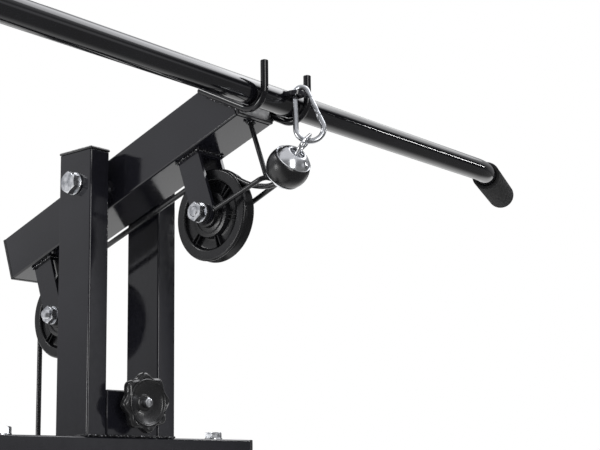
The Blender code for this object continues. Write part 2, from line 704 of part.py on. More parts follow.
def make_knob():
    """The star knob, a lobed disc with a dished face on a hub, and the screw that it turns."""
    outline = []
    for i in range(KNOB_LOBES * 6):
        turn = math.tau * i / (KNOB_LOBES * 6)
        reach = KNOB_LOBE_RADIUS - KNOB_LOBE_WAVE * (0.5 - 0.5 * math.cos(KNOB_LOBES * turn))
        outline.append((reach * math.cos(turn + KNOB_PHASE), reach * math.sin(turn + KNOB_PHASE)))
    centre = Vector((0, -TUBE / 2 - GAP, TOWER_HEIGHT + KNOB_HEIGHT))
    place = Matrix.Translation(centre) @ Matrix.Rotation(math.pi / 2, 4, "X")
    lobe_at = place @ Matrix.Translation((0, 0, KNOB_DEPTH - KNOB_LOBE_THICKNESS / 2))
    knob = piece("star_knob", plate_mesh("star_knob", outline, KNOB_LOBE_THICKNESS), "plastic", lobe_at)
    back = KNOB_DEPTH - KNOB_LOBE_THICKNESS
    hub = [
        (0.0, back + KNOB_HUB_ROOT), (KNOB_DISH_RADIUS, back + KNOB_HUB_ROOT),
        (KNOB_DISH_RADIUS, back - KNOB_HUB_ROOT), (KNOB_HUB_FLARE, back - KNOB_SHOULDER),
        (KNOB_HUB_RADIUS, 0.0), (0.0, 0.0),
    ]
    join(knob, helper("knob_hub", turned_mesh("knob_hub", hub), place))
    edge, deep = KNOB_DISH_RADIUS, KNOB_DISH_DEPTH
    above = KNOB_DEPTH + KNOB_LOBE_THICKNESS
    hollow = [(0.0, above), (edge, above), (edge, KNOB_DEPTH)]
    hollow += [
        (edge * math.cos(a), KNOB_DEPTH - deep * math.sin(a)) for a in (math.pi / 2 * i / 6 for i in range(1, 6))
    ]
    hollow.append((0.0, KNOB_DEPTH - deep))
    cut(knob, helper("knob_hollow", turned_mesh("knob_hollow", hollow), place))
    bore = rod_mesh("knob_bore", KNOB_SCREW_RADIUS + GAP, KNOB_DEPTH * 2, SMALL_SIDES)
    cut(knob, helper("knob_bore", bore, place @ Matrix.Translation((0, 0, -KNOB_DEPTH / 2))))
    length = KNOB_SCREW_REACH + KNOB_DEPTH + KNOB_SCREW_SHOWS
    screw = rod_mesh("knob_screw", KNOB_SCREW_RADIUS, length, SMALL_SIDES, KNOB_SCREW_EDGE)
    screw = piece("knob_screw", screw, "zinc", place @ Matrix.Translation((0, 0, -KNOB_SCREW_REACH)))
    return centre, [knob, screw]


def make_beam():
    """The inclined top beam, its end caps, its bolt and the spacers beside it."""
    to_back = beam_place(1, 0) - beam_place(0, 0)
    front = beam_place(CAP_FLANGE, 0)
    rear = beam_place(CAP_FLANGE + BEAM_LENGTH, 0)
    beam = tube("top_beam", TUBE, TUBE, BEAM_LENGTH, turn_to(to_back, front))
    reach = POST_GAP / 2 + POST_WIDTH
    bolt_at = Vector((-reach, 0, TOWER_HEIGHT + BEAM_BOLT_HEIGHT))
    cut(beam, hole("beam_hole", BEAM_BOLT_RADIUS + GAP, bolt_at, (1, 0, 0), 2 * reach))
    end_cap("beam_cap_front", TUBE, TUBE, turn_to(-to_back, front))
    end_cap("beam_cap_rear", TUBE, TUBE, turn_to(to_back, rear))
    bolt("beam_bolt", BEAM_BOLT_RADIUS, 2 * reach, turn_to((-1, 0, 0), bolt_at), tail=BOLT_TAIL, nut=True)
    width = POST_GAP / 2 - TUBE / 2 - 2 * GAP
    for side, word in ((-1, "left"), (1, "right")):
        at = (side * (TUBE / 2 + GAP), 0, bolt_at.z)
        outer, inner = SPACER_RADIUS, BEAM_BOLT_RADIUS + GAP
        ring = [(outer, width), (outer, 0.0), (inner, 0.0), (inner, width)]
        spacer = turned_mesh("spacer", ring, WASHER_SIDES, closed=True)
        piece("spacer_" + word, spacer, "zinc", turn_to((side, 0, 0), at))


def make_bracket(name, along):
    """A folded U bracket under the beam that carries a pulley between its cheeks."""
    half = BRACKET_WIDTH / 2
    top = TUBE / 2 + GAP
    bottom = PULLEY_DROP + BRACKET_BELOW_AXLE
    outline = [(-half, -top), (half, -top)] + arc((0, -bottom + half), half, 0, -math.pi, 12)
    width = BRACKET_INSIDE + 2 * BRACKET_THICKNESS
    origin = beam_place(along, 0)
    back = beam_place(along + 1, 0) - origin
    up = origin - beam_place(along, 1)
    frame = Matrix((back, up, back.cross(up))).transposed().to_4x4()
    place = Matrix.Translation(origin) @ frame
    bracket = piece(name, plate_mesh(name, outline, width), "black", place, smooth=False)
    inner = box_mesh(
        name + "_inside", (-BRACKET_WIDTH, -bottom - half, -BRACKET_INSIDE / 2),
        (BRACKET_WIDTH, -top - BRACKET_THICKNESS, BRACKET_INSIDE / 2),
    )
    cut(bracket, helper(name + "_inside", inner, place))
    axle = beam_place(along, PULLEY_DROP, -width)
    return cut(bracket, hole(name + "_bore", AXLE_RADIUS + GAP, axle, (1, 0, 0), 2 * width))


def pulley(name, axle):
    """A grooved cable pulley with a recessed web, turning on its axle."""
    rim, inner = PULLEY_RIM_WIDTH / 2, PULLEY_FLANGE_INNER_RADIUS
    boss = BRACKET_INSIDE / 2 - GAP
    web = PULLEY_WEB_THICKNESS / 2
    edge = PULLEY_EDGE
    hub = rim + edge / 2
    floor = GROOVE_FLOOR_WIDTH / 2
    bore = AXLE_RADIUS + GAP
    upper = [
        (bore, boss), (PULLEY_BOSS_RADIUS, boss), (PULLEY_BOSS_RADIUS, hub), (PULLEY_HUB_RADIUS, hub),
        (PULLEY_HUB_RADIUS + edge, web), (inner - edge, web), (inner, rim), (PULLEY_RADIUS - edge, rim),
        (PULLEY_RADIUS, rim - edge), (PULLEY_RADIUS, rim - RIM_LIP), (GROOVE_FLOOR_RADIUS, floor),
    ]
    lower = [(r, -z) for r, z in reversed(upper)]
    wheel = turned_mesh(name, upper + lower, PULLEY_SIDES, closed=True)
    return piece(name, wheel, "plastic", turn_to((1, 0, 0), axle))


def make_pulleys():
    """Both pulleys with their brackets, axle bolts and the front axle's nut."""
    outside = BRACKET_INSIDE / 2 + BRACKET_THICKNESS
    made = {}
    for word, along, axle in (("front", FRONT_PULLEY_ALONG, FRONT_AXLE), ("rear", REAR_PULLEY_ALONG, REAR_AXLE)):
        make_bracket(word + "_bracket", along)
        made[word] = pulley(word + "_pulley", axle)
        head_at = turn_to((1, 0, 0), axle + Vector((outside, 0, 0)))
        bolt(word + "_axle_bolt", AXLE_RADIUS, 2 * outside, head_at, tail=AXLE_BOLT_TAIL, nut=word == "rear")
    nut_at = turn_to((-1, 0, 0), FRONT_AXLE + Vector((-outside - GAP, 0, 0)))
    nut("front_axle_nut", AXLE_RADIUS, AXLE_WASHERS, nut_at)
    return made


def make_guard():
    """The bent rod in front of the front pulley, with its strut up to the beam."""
    rear, front = GUARD_REAR_ALONG, GUARD_FRONT_ALONG
    wide, narrow = GUARD_REAR_HALF_WIDTH, GUARD_FRONT_HALF_WIDTH
    flat = [(-wide, rear), (-narrow - GUARD_FLARE, front + GUARD_BEND + GUARD_SHOULDER)]
    corner = arc((-narrow + GUARD_BEND, front + GUARD_BEND), GUARD_BEND, math.pi, 1.5 * math.pi, 5)
    flat += corner
    flat += [(-x, along) for x, along in reversed(flat)]
    fall = (GUARD_REAR_DROP - GUARD_FRONT_DROP) / (rear - front)
    path = [beam_place(along, GUARD_FRONT_DROP + (along - front) * fall, x) for x, along in flat]
    guard = piece("cable_guard", wire_mesh("cable_guard", path, GUARD_RADIUS, 3), "black")
    top = beam_place(STRUT_ALONG, TUBE / 2 + GAP, STRUT_SIDE)
    foot = beam_place(front, GUARD_FRONT_DROP - GUARD_RADIUS / 2, STRUT_FOOT_SIDE)
    join(guard, helper("guard_strut", wire_mesh("guard_strut", [top, foot], STRUT_RADIUS, 3)))


def make_hooks():
    """The two bent-rod hooks welded on the beam's sides, which hold the lat bar."""
    swing = BAR_RADIUS + GAP + HOOK_RADIUS
    back, rise = math.cos(HOOK_LEG_ANGLE), math.sin(HOOK_LEG_ANGLE)
    y = BAR_CENTRE.y - HOOK_FRONT_REACH + HOOK_BEND_RADIUS
    z = BAR_CENTRE.z + (HOOK_BEND_RADIUS - swing + rise * (y - BAR_CENTRE.y)) / back
    for side, word in ((-1, "left"), (1, "right")):
        x = side * (TUBE / 2 + HOOK_RADIUS + GAP)
        out = side * HOOK_SPLAY
        bend = arc((y, z), HOOK_BEND_RADIUS, math.pi, 1.5 * math.pi + HOOK_LEG_ANGLE, 12)
        last_y, last_z = bend[-1]
        leg = (last_y + HOOK_LEG * back, last_z + HOOK_LEG * rise)
        count = len(bend)
        points = [(x + out, y - HOOK_BEND_RADIUS, BAR_CENTRE.z + HOOK_PRONG)]
        points += [(x + out * (1 - i / (count - 1)), a, b) for i, (a, b) in enumerate(bend)]
        points.append((x, *leg))
        piece("hook_" + word, wire_mesh("hook_" + word, points, HOOK_RADIUS, 4), "black")


def bar_half(side):
    """Centre line of one half of the lat bar, and the direction of its end."""
    lean = Vector((0, math.cos(BAR_ROLL), math.sin(BAR_ROLL)))
    out = Vector((side, 0, 0))
    start_at = out * BAR_STRAIGHT
    points = []
    for i in range(7):
        turn = BAR_BEND_ANGLE * i / 6
        points.append(
            start_at + out * BAR_BEND_RADIUS * math.sin(turn) + lean * BAR_BEND_RADIUS * (1 - math.cos(turn))
        )
    direction = out * math.cos(BAR_BEND_ANGLE) + lean * math.sin(BAR_BEND_ANGLE)
    points.append(points[-1] + direction * BAR_TAIL)
    tilt = Matrix.Rotation(BAR_TILT, 3, "Y")
    return [BAR_CENTRE + tilt @ point for point in points], tilt @ direction


def make_bar():
    """The lat bar with its grips and its eye."""
    left, left_way = bar_half(-1)
    right, right_way = bar_half(1)
    route = list(reversed(left)) + right
    parts = [piece("lat_bar", wire_mesh("lat_bar", route, BAR_RADIUS, 8), "black")]
    for word, end, way in (("left", left[-1], left_way), ("right", right[-1], right_way)):
        outer, inner = BAR_RADIUS + GAP + GRIP_WALL, BAR_RADIUS + GAP
        closed_end = GAP + GRIP_END_WALL
        open_end = closed_end - GRIP_LENGTH
        corner = GRIP_EDGE * (1 - math.sqrt(0.5))
        ring = [
            (0.0, closed_end), (outer - GRIP_EDGE, closed_end), (outer - corner, closed_end - corner),
            (outer, closed_end - GRIP_EDGE), (outer, open_end + GRIP_END_EDGE),
            (outer - GRIP_END_EDGE, open_end), (inner, open_end), (inner, GAP), (0.0, GAP),
        ]
        parts.append(piece("grip_" + word, turned_mesh("grip", ring), "foam", turn_to(way, end)))
    reach = EYE_REACH
    root = EYE_ROOT
    outline = [(-EYE_RADIUS, root), (-EYE_RADIUS, reach)]
    outline += arc((0, reach), EYE_RADIUS, math.pi, 0, 12)[1:]
    outline += [(EYE_RADIUS, root)]
    place = Matrix.Translation(EYE_CENTRE) @ Matrix.Rotation(math.pi, 4, "Z")
    eye = piece("bar_eye", plate_mesh("bar_eye", outline, EYE_THICKNESS), "black", place, smooth=False)
    along = Matrix.Rotation(BAR_TILT, 3, "Y") @ Vector((1, 0, 0))
    half = 2 * EYE_RADIUS
    around = hole("eye_saddle", BAR_RADIUS + GAP, BAR_CENTRE - along * half, along, 2 * half, ROUND_SIDES)
    bore_at = EYE_CENTRE + Vector((0, -reach, -EYE_THICKNESS))
    cut(eye, around, hole("eye_hole", EYE_HOLE_RADIUS, bore_at, (0, 0, 1), 2 * EYE_THICKNESS))
    parts.append(eye)
    return parts


def carabiner_frame():
    """The carabiner's crown and its two own axes: across its width and down its length."""
    across = Vector((math.cos(CARABINER_YAW), -math.sin(CARABINER_YAW), 0))
    forward = Vector((math.sin(CARABINER_YAW), math.cos(CARABINER_YAW), 0))
    down = -forward * math.sin(CARABINER_LEAN) - Vector((0, 0, math.cos(CARABINER_LEAN)))
    spine_in_hole = EYE_CENTRE + Vector((0, -EYE_REACH, 0))
    above = EYE_THICKNESS / 2 + WIRE_RADIUS + 2 * GAP
    crown = spine_in_hole + across * CARABINER_TOP_RADIUS - down * above / math.cos(CARABINER_LEAN)
    return crown, across, down


def carabiner_loop():
    """In-plane geometry: both end circles and the slanted gate side that touches them."""
    top, low = CARABINER_TOP_RADIUS, CARABINER_BOTTOM_RADIUS
    first = Vector((0.0, top))
    second = Vector((low - top, CARABINER_LENGTH - low))
    line = second - first
    turn = math.atan2(line.y, line.x)
    swing = math.asin((low - top) / line.length)
    normal = turn - math.pi / 2 - swing
    return first, second, normal


def make_carabiner():
    """The carabiner's body, an open loop, and the sprung gate that closes it."""
    crown, across, down = carabiner_frame()
    first, second, normal = carabiner_loop()
    top, low = CARABINER_TOP_RADIUS, CARABINER_BOTTOM_RADIUS
    side = Vector((math.cos(normal), math.sin(normal)))
    upper_touch = first + side * top
    lower_touch = second + side * low
    run = (lower_touch - upper_touch).normalized()
    span = (lower_touch - upper_touch).length
    nose = upper_touch + run * span * GATE_START
    gate_top = nose + run * GAP
    gate_low = gate_top + run * GATE_LENGTH
    hinge_end = gate_low + run * GATE_HINGE_GAP
    loop = [tuple(nose)] + arc(first, top, normal, -math.pi, 10)
    loop += arc(second, low, math.pi, normal, 12) + [tuple(hinge_end)]

    def world(point):
        return crown + across * point[0] + down * point[1]

    body = piece("carabiner", wire_mesh("carabiner", [world(p) for p in loop], WIRE_RADIUS, 3), "zinc")
    bar = [world(gate_top), world(gate_low)]
    gate = piece("carabiner_gate", wire_mesh("carabiner_gate", bar, WIRE_RADIUS - GATE_THINNER, 3), "zinc")
    held = world((second.x + low * math.sin(LINK_CONTACT), second.y + low * math.cos(LINK_CONTACT)))
    tangent = across * math.cos(LINK_CONTACT) - down * math.sin(LINK_CONTACT)
    return body, gate, world(gate_low), held, tangent


def ball_cap_profile(angle):
    """Outer run of a cap: from its top flat down its round side to its base."""
    steps = 5
    first = math.asin((LINK_SOCKET_RADIUS + LINK_SOCKET_LAND) / BALL_RADIUS)
    turns = [first + (angle - first) * i / steps for i in range(steps + 1)]
    run = [(BALL_RADIUS * math.sin(a), BALL_RADIUS * math.cos(a)) for a in turns]
    run[-1] = (run[-1][0], run[-1][1] + GAP)
    return run


def make_ball(held, tangent):
    """The ball stop between its two plated caps, and the wire link to the carabiner."""
    place = turn_to(BALL_AXIS, BALL_CENTRE)
    under = turn_to(-BALL_AXIS, BALL_CENTRE)
    span = math.pi - BALL_UPPER_ANGLE - BALL_LOWER_ANGLE
    turns = [BALL_UPPER_ANGLE + span * i / 5 for i in range(6)]
    band = [(BALL_RADIUS * math.sin(a), BALL_RADIUS * math.cos(a)) for a in turns]
    middle = [(0.0, band[0][1])] + band + [(0.0, band[-1][1])]
    ball = piece("ball_stop", turned_mesh("ball_stop", middle), "rubber", place)
    run = ball_cap_profile(BALL_UPPER_ANGLE)
    top = run[0][1]
    floor = top - LINK_SOCKET_DEPTH
    rim = LINK_SOCKET_RADIUS
    upper = [(0.0, floor), (rim, floor), (rim, top)] + run + [(0.0, run[-1][1])]
    cap = piece("ball_cap_upper", turned_mesh("ball_cap_upper", upper), "chrome", place)
    run = ball_cap_profile(BALL_LOWER_ANGLE)
    bore, deep = CABLE_RADIUS + GAP, top - CABLE_BORE_DEPTH
    lower = [(0.0, deep), (bore, deep), (bore, top)] + run + [(0.0, run[-1][1])]
    cap_low = piece("ball_cap_lower", turned_mesh("ball_cap_lower", lower), "chrome", under)
    route = link_route(held, tangent, top, floor)
    link = piece("ball_link", wire_mesh("ball_link", route, LINK_RADIUS, 2), "chrome")
    cable_end = BALL_CENTRE - BALL_AXIS * (deep + GAP)
    return [ball, cap, cap_low, link], cable_end


def link_route(held, tangent, top, floor):
    """A bent U of wire: both legs stand in the cap's recess and its bow holds the carabiner's wire."""
    clear = top + LINK_RADIUS + 2 * GAP
    middle = BALL_CENTRE + BALL_AXIS * (clear + LINK_HALF_WIDTH)
    way = (held - middle).normalized()
    flat = tangent - way * tangent.dot(way)
    upright = flat.cross(way).normalized()
    upright = upright if upright.dot(BALL_AXIS) > 0 else -upright
    lift = (BALL_AXIS - way * BALL_AXIS.dot(way)).normalized()
    spread = (upright + lift).normalized() * LINK_HALF_WIDTH
    outward = (way - BALL_AXIS * way.dot(BALL_AXIS)).normalized()
    foot = BALL_CENTRE + BALL_AXIS * (floor + GAP)
    near = foot + outward * (LINK_SOCKET_RADIUS - LINK_RADIUS - 3 * GAP)
    far = foot - outward * (LINK_SOCKET_RADIUS - LINK_RADIUS - 3 * GAP)
    bow = held + way * (WIRE_RADIUS + 2 * GAP - LINK_HALF_WIDTH + LINK_RADIUS + LINK_SLACK)
    head = [bow + spread * math.cos(a) * -1 + way * LINK_HALF_WIDTH * math.sin(a) for a in (
        math.pi * i / 8 for i in range(9))]
    low_turn = middle - spread + outward * LINK_HALF_WIDTH * 0.9
    high_turn = middle + spread - outward * LINK_HALF_WIDTH * 0.2
    return [near, low_turn] + head + [high_turn, far + BALL_AXIS * LINK_HALF_WIDTH, far]


def smooth_route(knots, steps):
    """Points of a smooth curve through a few knots (Catmull-Rom)."""
    padded = [knots[0] * 2 - knots[1]] + list(knots) + [knots[-1] * 2 - knots[-2]]
    route = []
    for i in range(1, len(padded) - 2):
        a, b, c, d = padded[i - 1:i + 3]
        for j in range(steps):
            t = j / steps
            route.append(
                (b * 2 + (c - a) * t + (a * 2 - b * 5 + c * 4 - d) * t * t + (b * 3 - a - c * 3 + d) * t ** 3) / 2
            )
    route.append(knots[-1])
    return route


def make_cable(socket_top, cable_end):
    """The cable: over both pulleys, down to the carriage, and the short tail to the ball stop."""
    r, tail_start = CABLE_CENTRE_RADIUS, TAIL_LEAVES
    front = arc((FRONT_AXLE.y, FRONT_AXLE.z), r, tail_start, math.pi / 2 - BEAM_ANGLE, 8)
    rear = arc((REAR_AXLE.y, REAR_AXLE.z), r, math.pi / 2 - BEAM_ANGLE, 0.0, 9)
    run = [(0.0, y, z) for y, z in front + rear]
    piece("cable_run", wire_mesh("cable_run", run, CABLE_RADIUS, 2), "rubber")
    drop_top = REAR_AXLE.z - GAP
    drop = [(0.0, DROP_Y, drop_top), (0.0, DROP_Y, socket_top + GAP)]
    piece("cable_drop", wire_mesh("cable_drop", drop, CABLE_RADIUS, 2), "rubber")
    way = Vector((0.0, -math.sin(tail_start), math.cos(tail_start)))
    leave = Vector((0.0, *front[0])) + way * GAP
    under_guard = beam_place(GUARD_FRONT_ALONG, GUARD_FRONT_DROP + GUARD_RADIUS + CABLE_RADIUS + 3 * GAP)
    knots = [leave, leave + way * 0.006] + [beam_place(along, drop) for along, drop in TAIL_ROUTE]
    knots += [under_guard, cable_end - BALL_AXIS * 0.004, cable_end]
    piece("cable_tail", wire_mesh("cable_tail", smooth_route(knots, 5), CABLE_RADIUS, 2), "rubber")


def roller(name, side, y, z):
    """A foam roller with a bore, on one side of the gym."""
    inner = ROLLER_AXLE_RADIUS + GAP
    outer, length = ROLLER_RADIUS, ROLLER_LENGTH
    edge, step = ROLLER_EDGE, ROLLER_EDGE_STEP
    ring = [
        (outer - edge, length), (outer - step, length - step), (outer, length - edge), (outer, edge),
        (outer - step, step), (outer - edge, 0.0), (inner, 0.0), (inner, length),
    ]
    start_x = side * (TUBE / 2 + ROLLER_SPACE)
    foam = turned_mesh(name, ring, ROLLER_SIDES, closed=True)
    return piece(name, foam, "foam", turn_to((side, 0, 0), (start_x, y, z)))


def axle_bar(name, y, z):
    """A bar through both rollers, with a stop disc outside each roller."""
    reach = TUBE / 2 + ROLLER_SPACE + ROLLER_LENGTH + GAP
    end = reach + AXLE_ROOT
    bar = rod_mesh(name, ROLLER_AXLE_RADIUS, 2 * end, WASHER_SIDES)
    parts = [helper(name, bar, turn_to((1, 0, 0), (-end, y, z)))]
    for side, word in ((-1, "left"), (1, "right")):
        stop = rod_mesh(name, ROLLER_STOP_RADIUS, ROLLER_STOP, ROLLER_SIDES, ROLLER_STOP_EDGE)
        parts.append(helper(name + "_stop_" + word, stop, turn_to((side, 0, 0), (side * reach, y, z))))
    return parts


def make_seat():
    """Seat rail and post as one weldment with the lever's lugs, and both cushions."""
    rail_low = SEAT_RAIL_TOP - TUBE
    start_y, end_y = SEAT_POST_FRONT, -TUBE / 2 - GAP
    rail = box_mesh("rail", (-TUBE / 2, start_y, rail_low), (TUBE / 2, end_y, SEAT_RAIL_TOP), STOCK_EDGE)
    frame = piece("seat_frame", rail, "black")
    post_low = RAIL_TOP + GAP
    post_high = SEAT_RAIL_TOP - SEAT_POST_BELOW_RAIL_TOP
    post_back = SEAT_POST_FRONT + TUBE
    post = box_mesh(
        "seat_post", (-TUBE / 2, SEAT_POST_FRONT, post_low), (TUBE / 2, post_back, post_high), STOCK_EDGE
    )
    join(frame, helper("seat_post", post))
    inside = LEVER_TUBE / 2 + GAP
    lug_low, lug_high = LEVER_PIVOT_HEIGHT - LUG_HEIGHT / 2, LEVER_PIVOT_HEIGHT + LUG_HEIGHT / 2
    lug_front, lug_back = SEAT_POST_FRONT - LUG_REACH, SEAT_POST_FRONT + LUG_ROOT
    for side, word in ((-1, "left"), (1, "right")):
        low_x, high_x = sorted((side * inside, side * (inside + LUG_THICKNESS)))
        lug = box_mesh("lug", (low_x, lug_front, lug_low), (high_x, lug_back, lug_high))
        join(frame, helper("lug_" + word, lug))
    join(frame, *axle_bar("upper_axle", SEAT_POST_Y, UPPER_ROLLER_HEIGHT))
    width = inside + LUG_THICKNESS
    bore_at = (-2 * width, LEVER_Y, LEVER_PIVOT_HEIGHT)
    cut(frame, hole("lug_hole", PIVOT_RADIUS + GAP, bore_at, (1, 0, 0), 4 * width))
    bolt(
        "lever_pivot", PIVOT_RADIUS, 2 * width, turn_to((1, 0, 0), (width, LEVER_Y, LEVER_PIVOT_HEIGHT)),
        tail=BOLT_TAIL, nut=True,
    )
    seat_y = SEAT_POST_FRONT - SEAT_FRONT_OVERHANG + SEAT_LENGTH / 2
    seat_at = Matrix.Translation((0, seat_y, SEAT_RAIL_TOP + GAP))
    cushion("seat_pad", SEAT_WIDTH, SEAT_LENGTH, SEAT_THICKNESS, seat_at)
    back_at = (0, -TUBE / 2 - GAP, BACK_BOTTOM + BACK_HEIGHT / 2)
    upright = Matrix.Translation(back_at) @ Matrix.Rotation(math.pi / 2, 4, "X")
    cushion("back_pad", BACK_WIDTH, BACK_HEIGHT, BACK_THICKNESS, upright)


def make_lever():
    """The leg lever with its roller axle and plate horn."""
    half = LEVER_TUBE / 2
    top, low = LEVER_PIVOT_HEIGHT + LEVER_ABOVE_PIVOT, LEVER_AXLE_Z - half
    arm = box_mesh("leg_lever", (-half, LEVER_Y - half, low), (half, LEVER_Y + half, top), STOCK_EDGE)
    lever = piece("leg_lever", arm, "black")
    join(lever, *axle_bar("lower_axle", LEVER_Y, LEVER_AXLE_Z))
    horn_z = LEVER_PIVOT_HEIGHT - LEVER_HORN_DROP
    horn = rod_mesh("lever_horn", PLATE_HORN_RADIUS, LEVER_HORN_LENGTH + HORN_ROOT, WASHER_SIDES, HORN_EDGE)
    flange = rod_mesh("lever_flange", HORN_FLANGE_RADIUS, HORN_FLANGE_THICKNESS, ROLLER_SIDES)
    root_y = LEVER_Y - half
    join(
        lever,
        helper("lever_horn", horn, turn_to((0, -1, 0), (0, root_y + HORN_ROOT, horn_z))),
        helper("lever_flange", flange, turn_to((0, -1, 0), (0, root_y + HORN_FLANGE_THICKNESS / 2, horn_z))),
    )
    bore_at = (-TUBE, LEVER_Y, LEVER_PIVOT_HEIGHT)
    return cut(lever, hole("lever_bore", PIVOT_RADIUS + GAP, bore_at, (1, 0, 0), 2 * TUBE))


def body(name, at, pieces):
    """An empty on a joint's axis that carries the pieces of one moving body."""
    centre = bpy.data.objects.new(name, None)
    bpy.data.collections[PARTS].objects.link(centre)
    centre.empty_display_size = 0.05
    centre.location = at
    for obj in pieces:
        obj.parent = centre
        obj.matrix_parent_inverse = Matrix.Translation(-Vector(at))
    return centre


def main():
    start()
    make_base()
    make_guides()
    socket_top = make_carriage()
    make_posts()
    knob_at, knob_parts = make_knob()
    make_beam()
    pulleys = make_pulleys()
    make_guard()
    make_hooks()
    bar_parts = make_bar()
    carabiner, gate, gate_at, held, tangent = make_carabiner()
    ball_parts, cable_end = make_ball(held, tangent)
    make_cable(socket_top, cable_end)
    make_seat()
    lever = make_lever()
    lever_at = Vector((0, LEVER_Y, LEVER_PIVOT_HEIGHT))
    axle_at = Vector((0, LEVER_Y, LEVER_AXLE_Z))
    seat_axle_at = Vector((0, SEAT_POST_Y, UPPER_ROLLER_HEIGHT))
    body("joint_carriage", (0, DROP_Y, CARRIAGE_BOTTOM), [bpy.data.objects["carriage"]])
    body("joint_front_pulley", FRONT_AXLE, [pulleys["front"]])
    body("joint_rear_pulley", REAR_AXLE, [pulleys["rear"]])
    body("joint_knob", knob_at, knob_parts)
    body("joint_lat_bar", BAR_CENTRE, bar_parts + [carabiner] + ball_parts)
    body("joint_gate", gate_at, [gate])
    body("joint_leg_lever", lever_at, [lever])
    for side, word in ((-1, "left"), (1, "right")):
        lower = roller("lower_roller_" + word, side, LEVER_Y, LEVER_AXLE_Z)
        body("joint_lower_roller_" + word, axle_at, [lower])
        upper = roller("upper_roller_" + word, side, SEAT_POST_Y, UPPER_ROLLER_HEIGHT)
        body("joint_upper_roller_" + word, seat_axle_at, [upper])


main()
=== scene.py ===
"""Looks of the multi gym: finishes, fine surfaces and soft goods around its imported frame.

Units are metres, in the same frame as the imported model. Places repeat the model's own sizes.
"""

import json
import random
from math import asin, atan2, copysign, cos, pi, radians, sin, sqrt, tan, tau

import bmesh
import bpy
from mathutils import Matrix, Vector
from mathutils.bvhtree import BVHTree

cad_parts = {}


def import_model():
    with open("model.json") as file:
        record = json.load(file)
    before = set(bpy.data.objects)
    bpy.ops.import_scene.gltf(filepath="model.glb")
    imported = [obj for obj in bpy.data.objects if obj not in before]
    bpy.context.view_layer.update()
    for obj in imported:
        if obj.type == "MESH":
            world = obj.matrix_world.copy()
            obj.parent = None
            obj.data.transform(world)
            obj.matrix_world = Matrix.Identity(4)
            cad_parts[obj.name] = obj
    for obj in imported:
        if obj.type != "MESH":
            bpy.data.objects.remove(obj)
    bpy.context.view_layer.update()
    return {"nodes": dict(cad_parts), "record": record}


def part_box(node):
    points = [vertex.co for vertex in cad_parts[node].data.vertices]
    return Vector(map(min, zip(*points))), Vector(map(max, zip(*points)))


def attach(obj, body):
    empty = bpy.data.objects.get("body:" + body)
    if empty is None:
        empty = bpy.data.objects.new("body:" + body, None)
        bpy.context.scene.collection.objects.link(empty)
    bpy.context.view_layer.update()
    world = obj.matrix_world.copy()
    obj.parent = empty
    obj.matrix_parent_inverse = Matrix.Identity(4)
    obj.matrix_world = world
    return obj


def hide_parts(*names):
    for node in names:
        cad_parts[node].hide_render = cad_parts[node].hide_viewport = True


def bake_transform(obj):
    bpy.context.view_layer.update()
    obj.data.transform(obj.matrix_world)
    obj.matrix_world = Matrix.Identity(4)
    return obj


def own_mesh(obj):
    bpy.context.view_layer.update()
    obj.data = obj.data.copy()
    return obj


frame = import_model()

# Bodies
FRAME, CARRIAGE, BAR, GATE, KNOB, LEVER = "gym_frame", "plate_carriage", "bar", "gate", "knob", "lever"

# Sizes shared with the model: tubes, bolts and the tower
GAP = 0.0003
TUBE = 0.05
M10, M12 = 0.005, 0.006
TOWER = 1.68
POST_X, POST_HALF = 0.0477, 0.0125
BEAM_ANGLE = radians(19.2)
BEAM_REACH = 0.203
BOLT_Z = TOWER + 0.2602
FRONT_PULLEY_ALONG, REAR_PULLEY_ALONG, PULLEY_DROP = 0.0826, 0.3245, 0.0904
PULLEY_R, GROOVE_R = 0.0462, 0.0415
CABLE_R = 0.00275
CABLE_CENTRE = GROOVE_R + GAP + CABLE_R
BRACKET_OUT = 0.0175
GUARD_R, GUARD_DROP_FRONT, GUARD_DROP_REAR = 0.0025, 0.0917, 0.0931
GUARD_FRONT, GUARD_REAR = 0.002568, 0.068668

# Sizes shared with the model: bar and hanging parts
BAR_R = 0.0125
WIRE_R = 0.0027
BALL_R, BALL_FLAT_R, BALL_SINK = 0.0208, 0.0087, 0.0009
BALL_FLAT = asin(BALL_FLAT_R / BALL_R)
BALL_TOP = BALL_R * cos(BALL_FLAT)
SOCKET_R, SOCKET_DEPTH, CABLE_SOCKET_DEPTH = 0.0072, 0.0045, 0.003

# Sizes shared with the model: base, weights and seat
ROD_X, ROD_R, ROD_LOW, ROD_TOP = 0.1445, 0.0125, 0.1006, 1.6297
SLEEVE_LOW, SLEEVE_TOP = 0.1359, 0.2559
FRONT_FOOT_Y, REAR_FOOT_Y = -0.43, 0.375
FRONT_FOOT_REACH, REAR_FOOT_REACH, LOWER_BEAM_REACH = 0.28, 0.35, 0.1835
LOWER_BEAM_Z = 0.0753
LEVER_Y, LEVER_Z = -0.497, 0.372
LOWER_ROLLER_Z, UPPER_ROLLER_Z = 0.117, 0.335
SEAT_WIDTH, SEAT_LENGTH, SEAT_THICK, SEAT_Z = 0.3, 0.34, 0.06, 0.4403
BACK_WIDTH, BACK_LENGTH, BACK_THICK, BACK_Z = 0.24, 0.56, 0.055, 0.92

# A bead's centre line lies this far out from the middle of a square tube
BEAD_LINE = TUBE / 2 + 0.0006
SIDES = ((-1, "left"), (1, "right"))
ACROSS, UP = Vector((1, 0, 0)), Vector((0, 0, 1))
shift = Matrix.Translation
QUARTER_X = Matrix.Rotation(pi / 2, 4, "X")


def beam_place(along, drop, x=0.0):
    """A point along the top beam from its front end and square below its centre line."""
    c, s = cos(BEAM_ANGLE), sin(BEAM_ANGLE)
    y = -BEAM_REACH * c + along * c - drop * s
    z = BOLT_Z + BEAM_REACH * s - along * s - drop * c
    return Vector((x, y, z))


def beam_dir(along):
    """A step along the beam."""
    return beam_place(along, 0) - beam_place(0, 0)


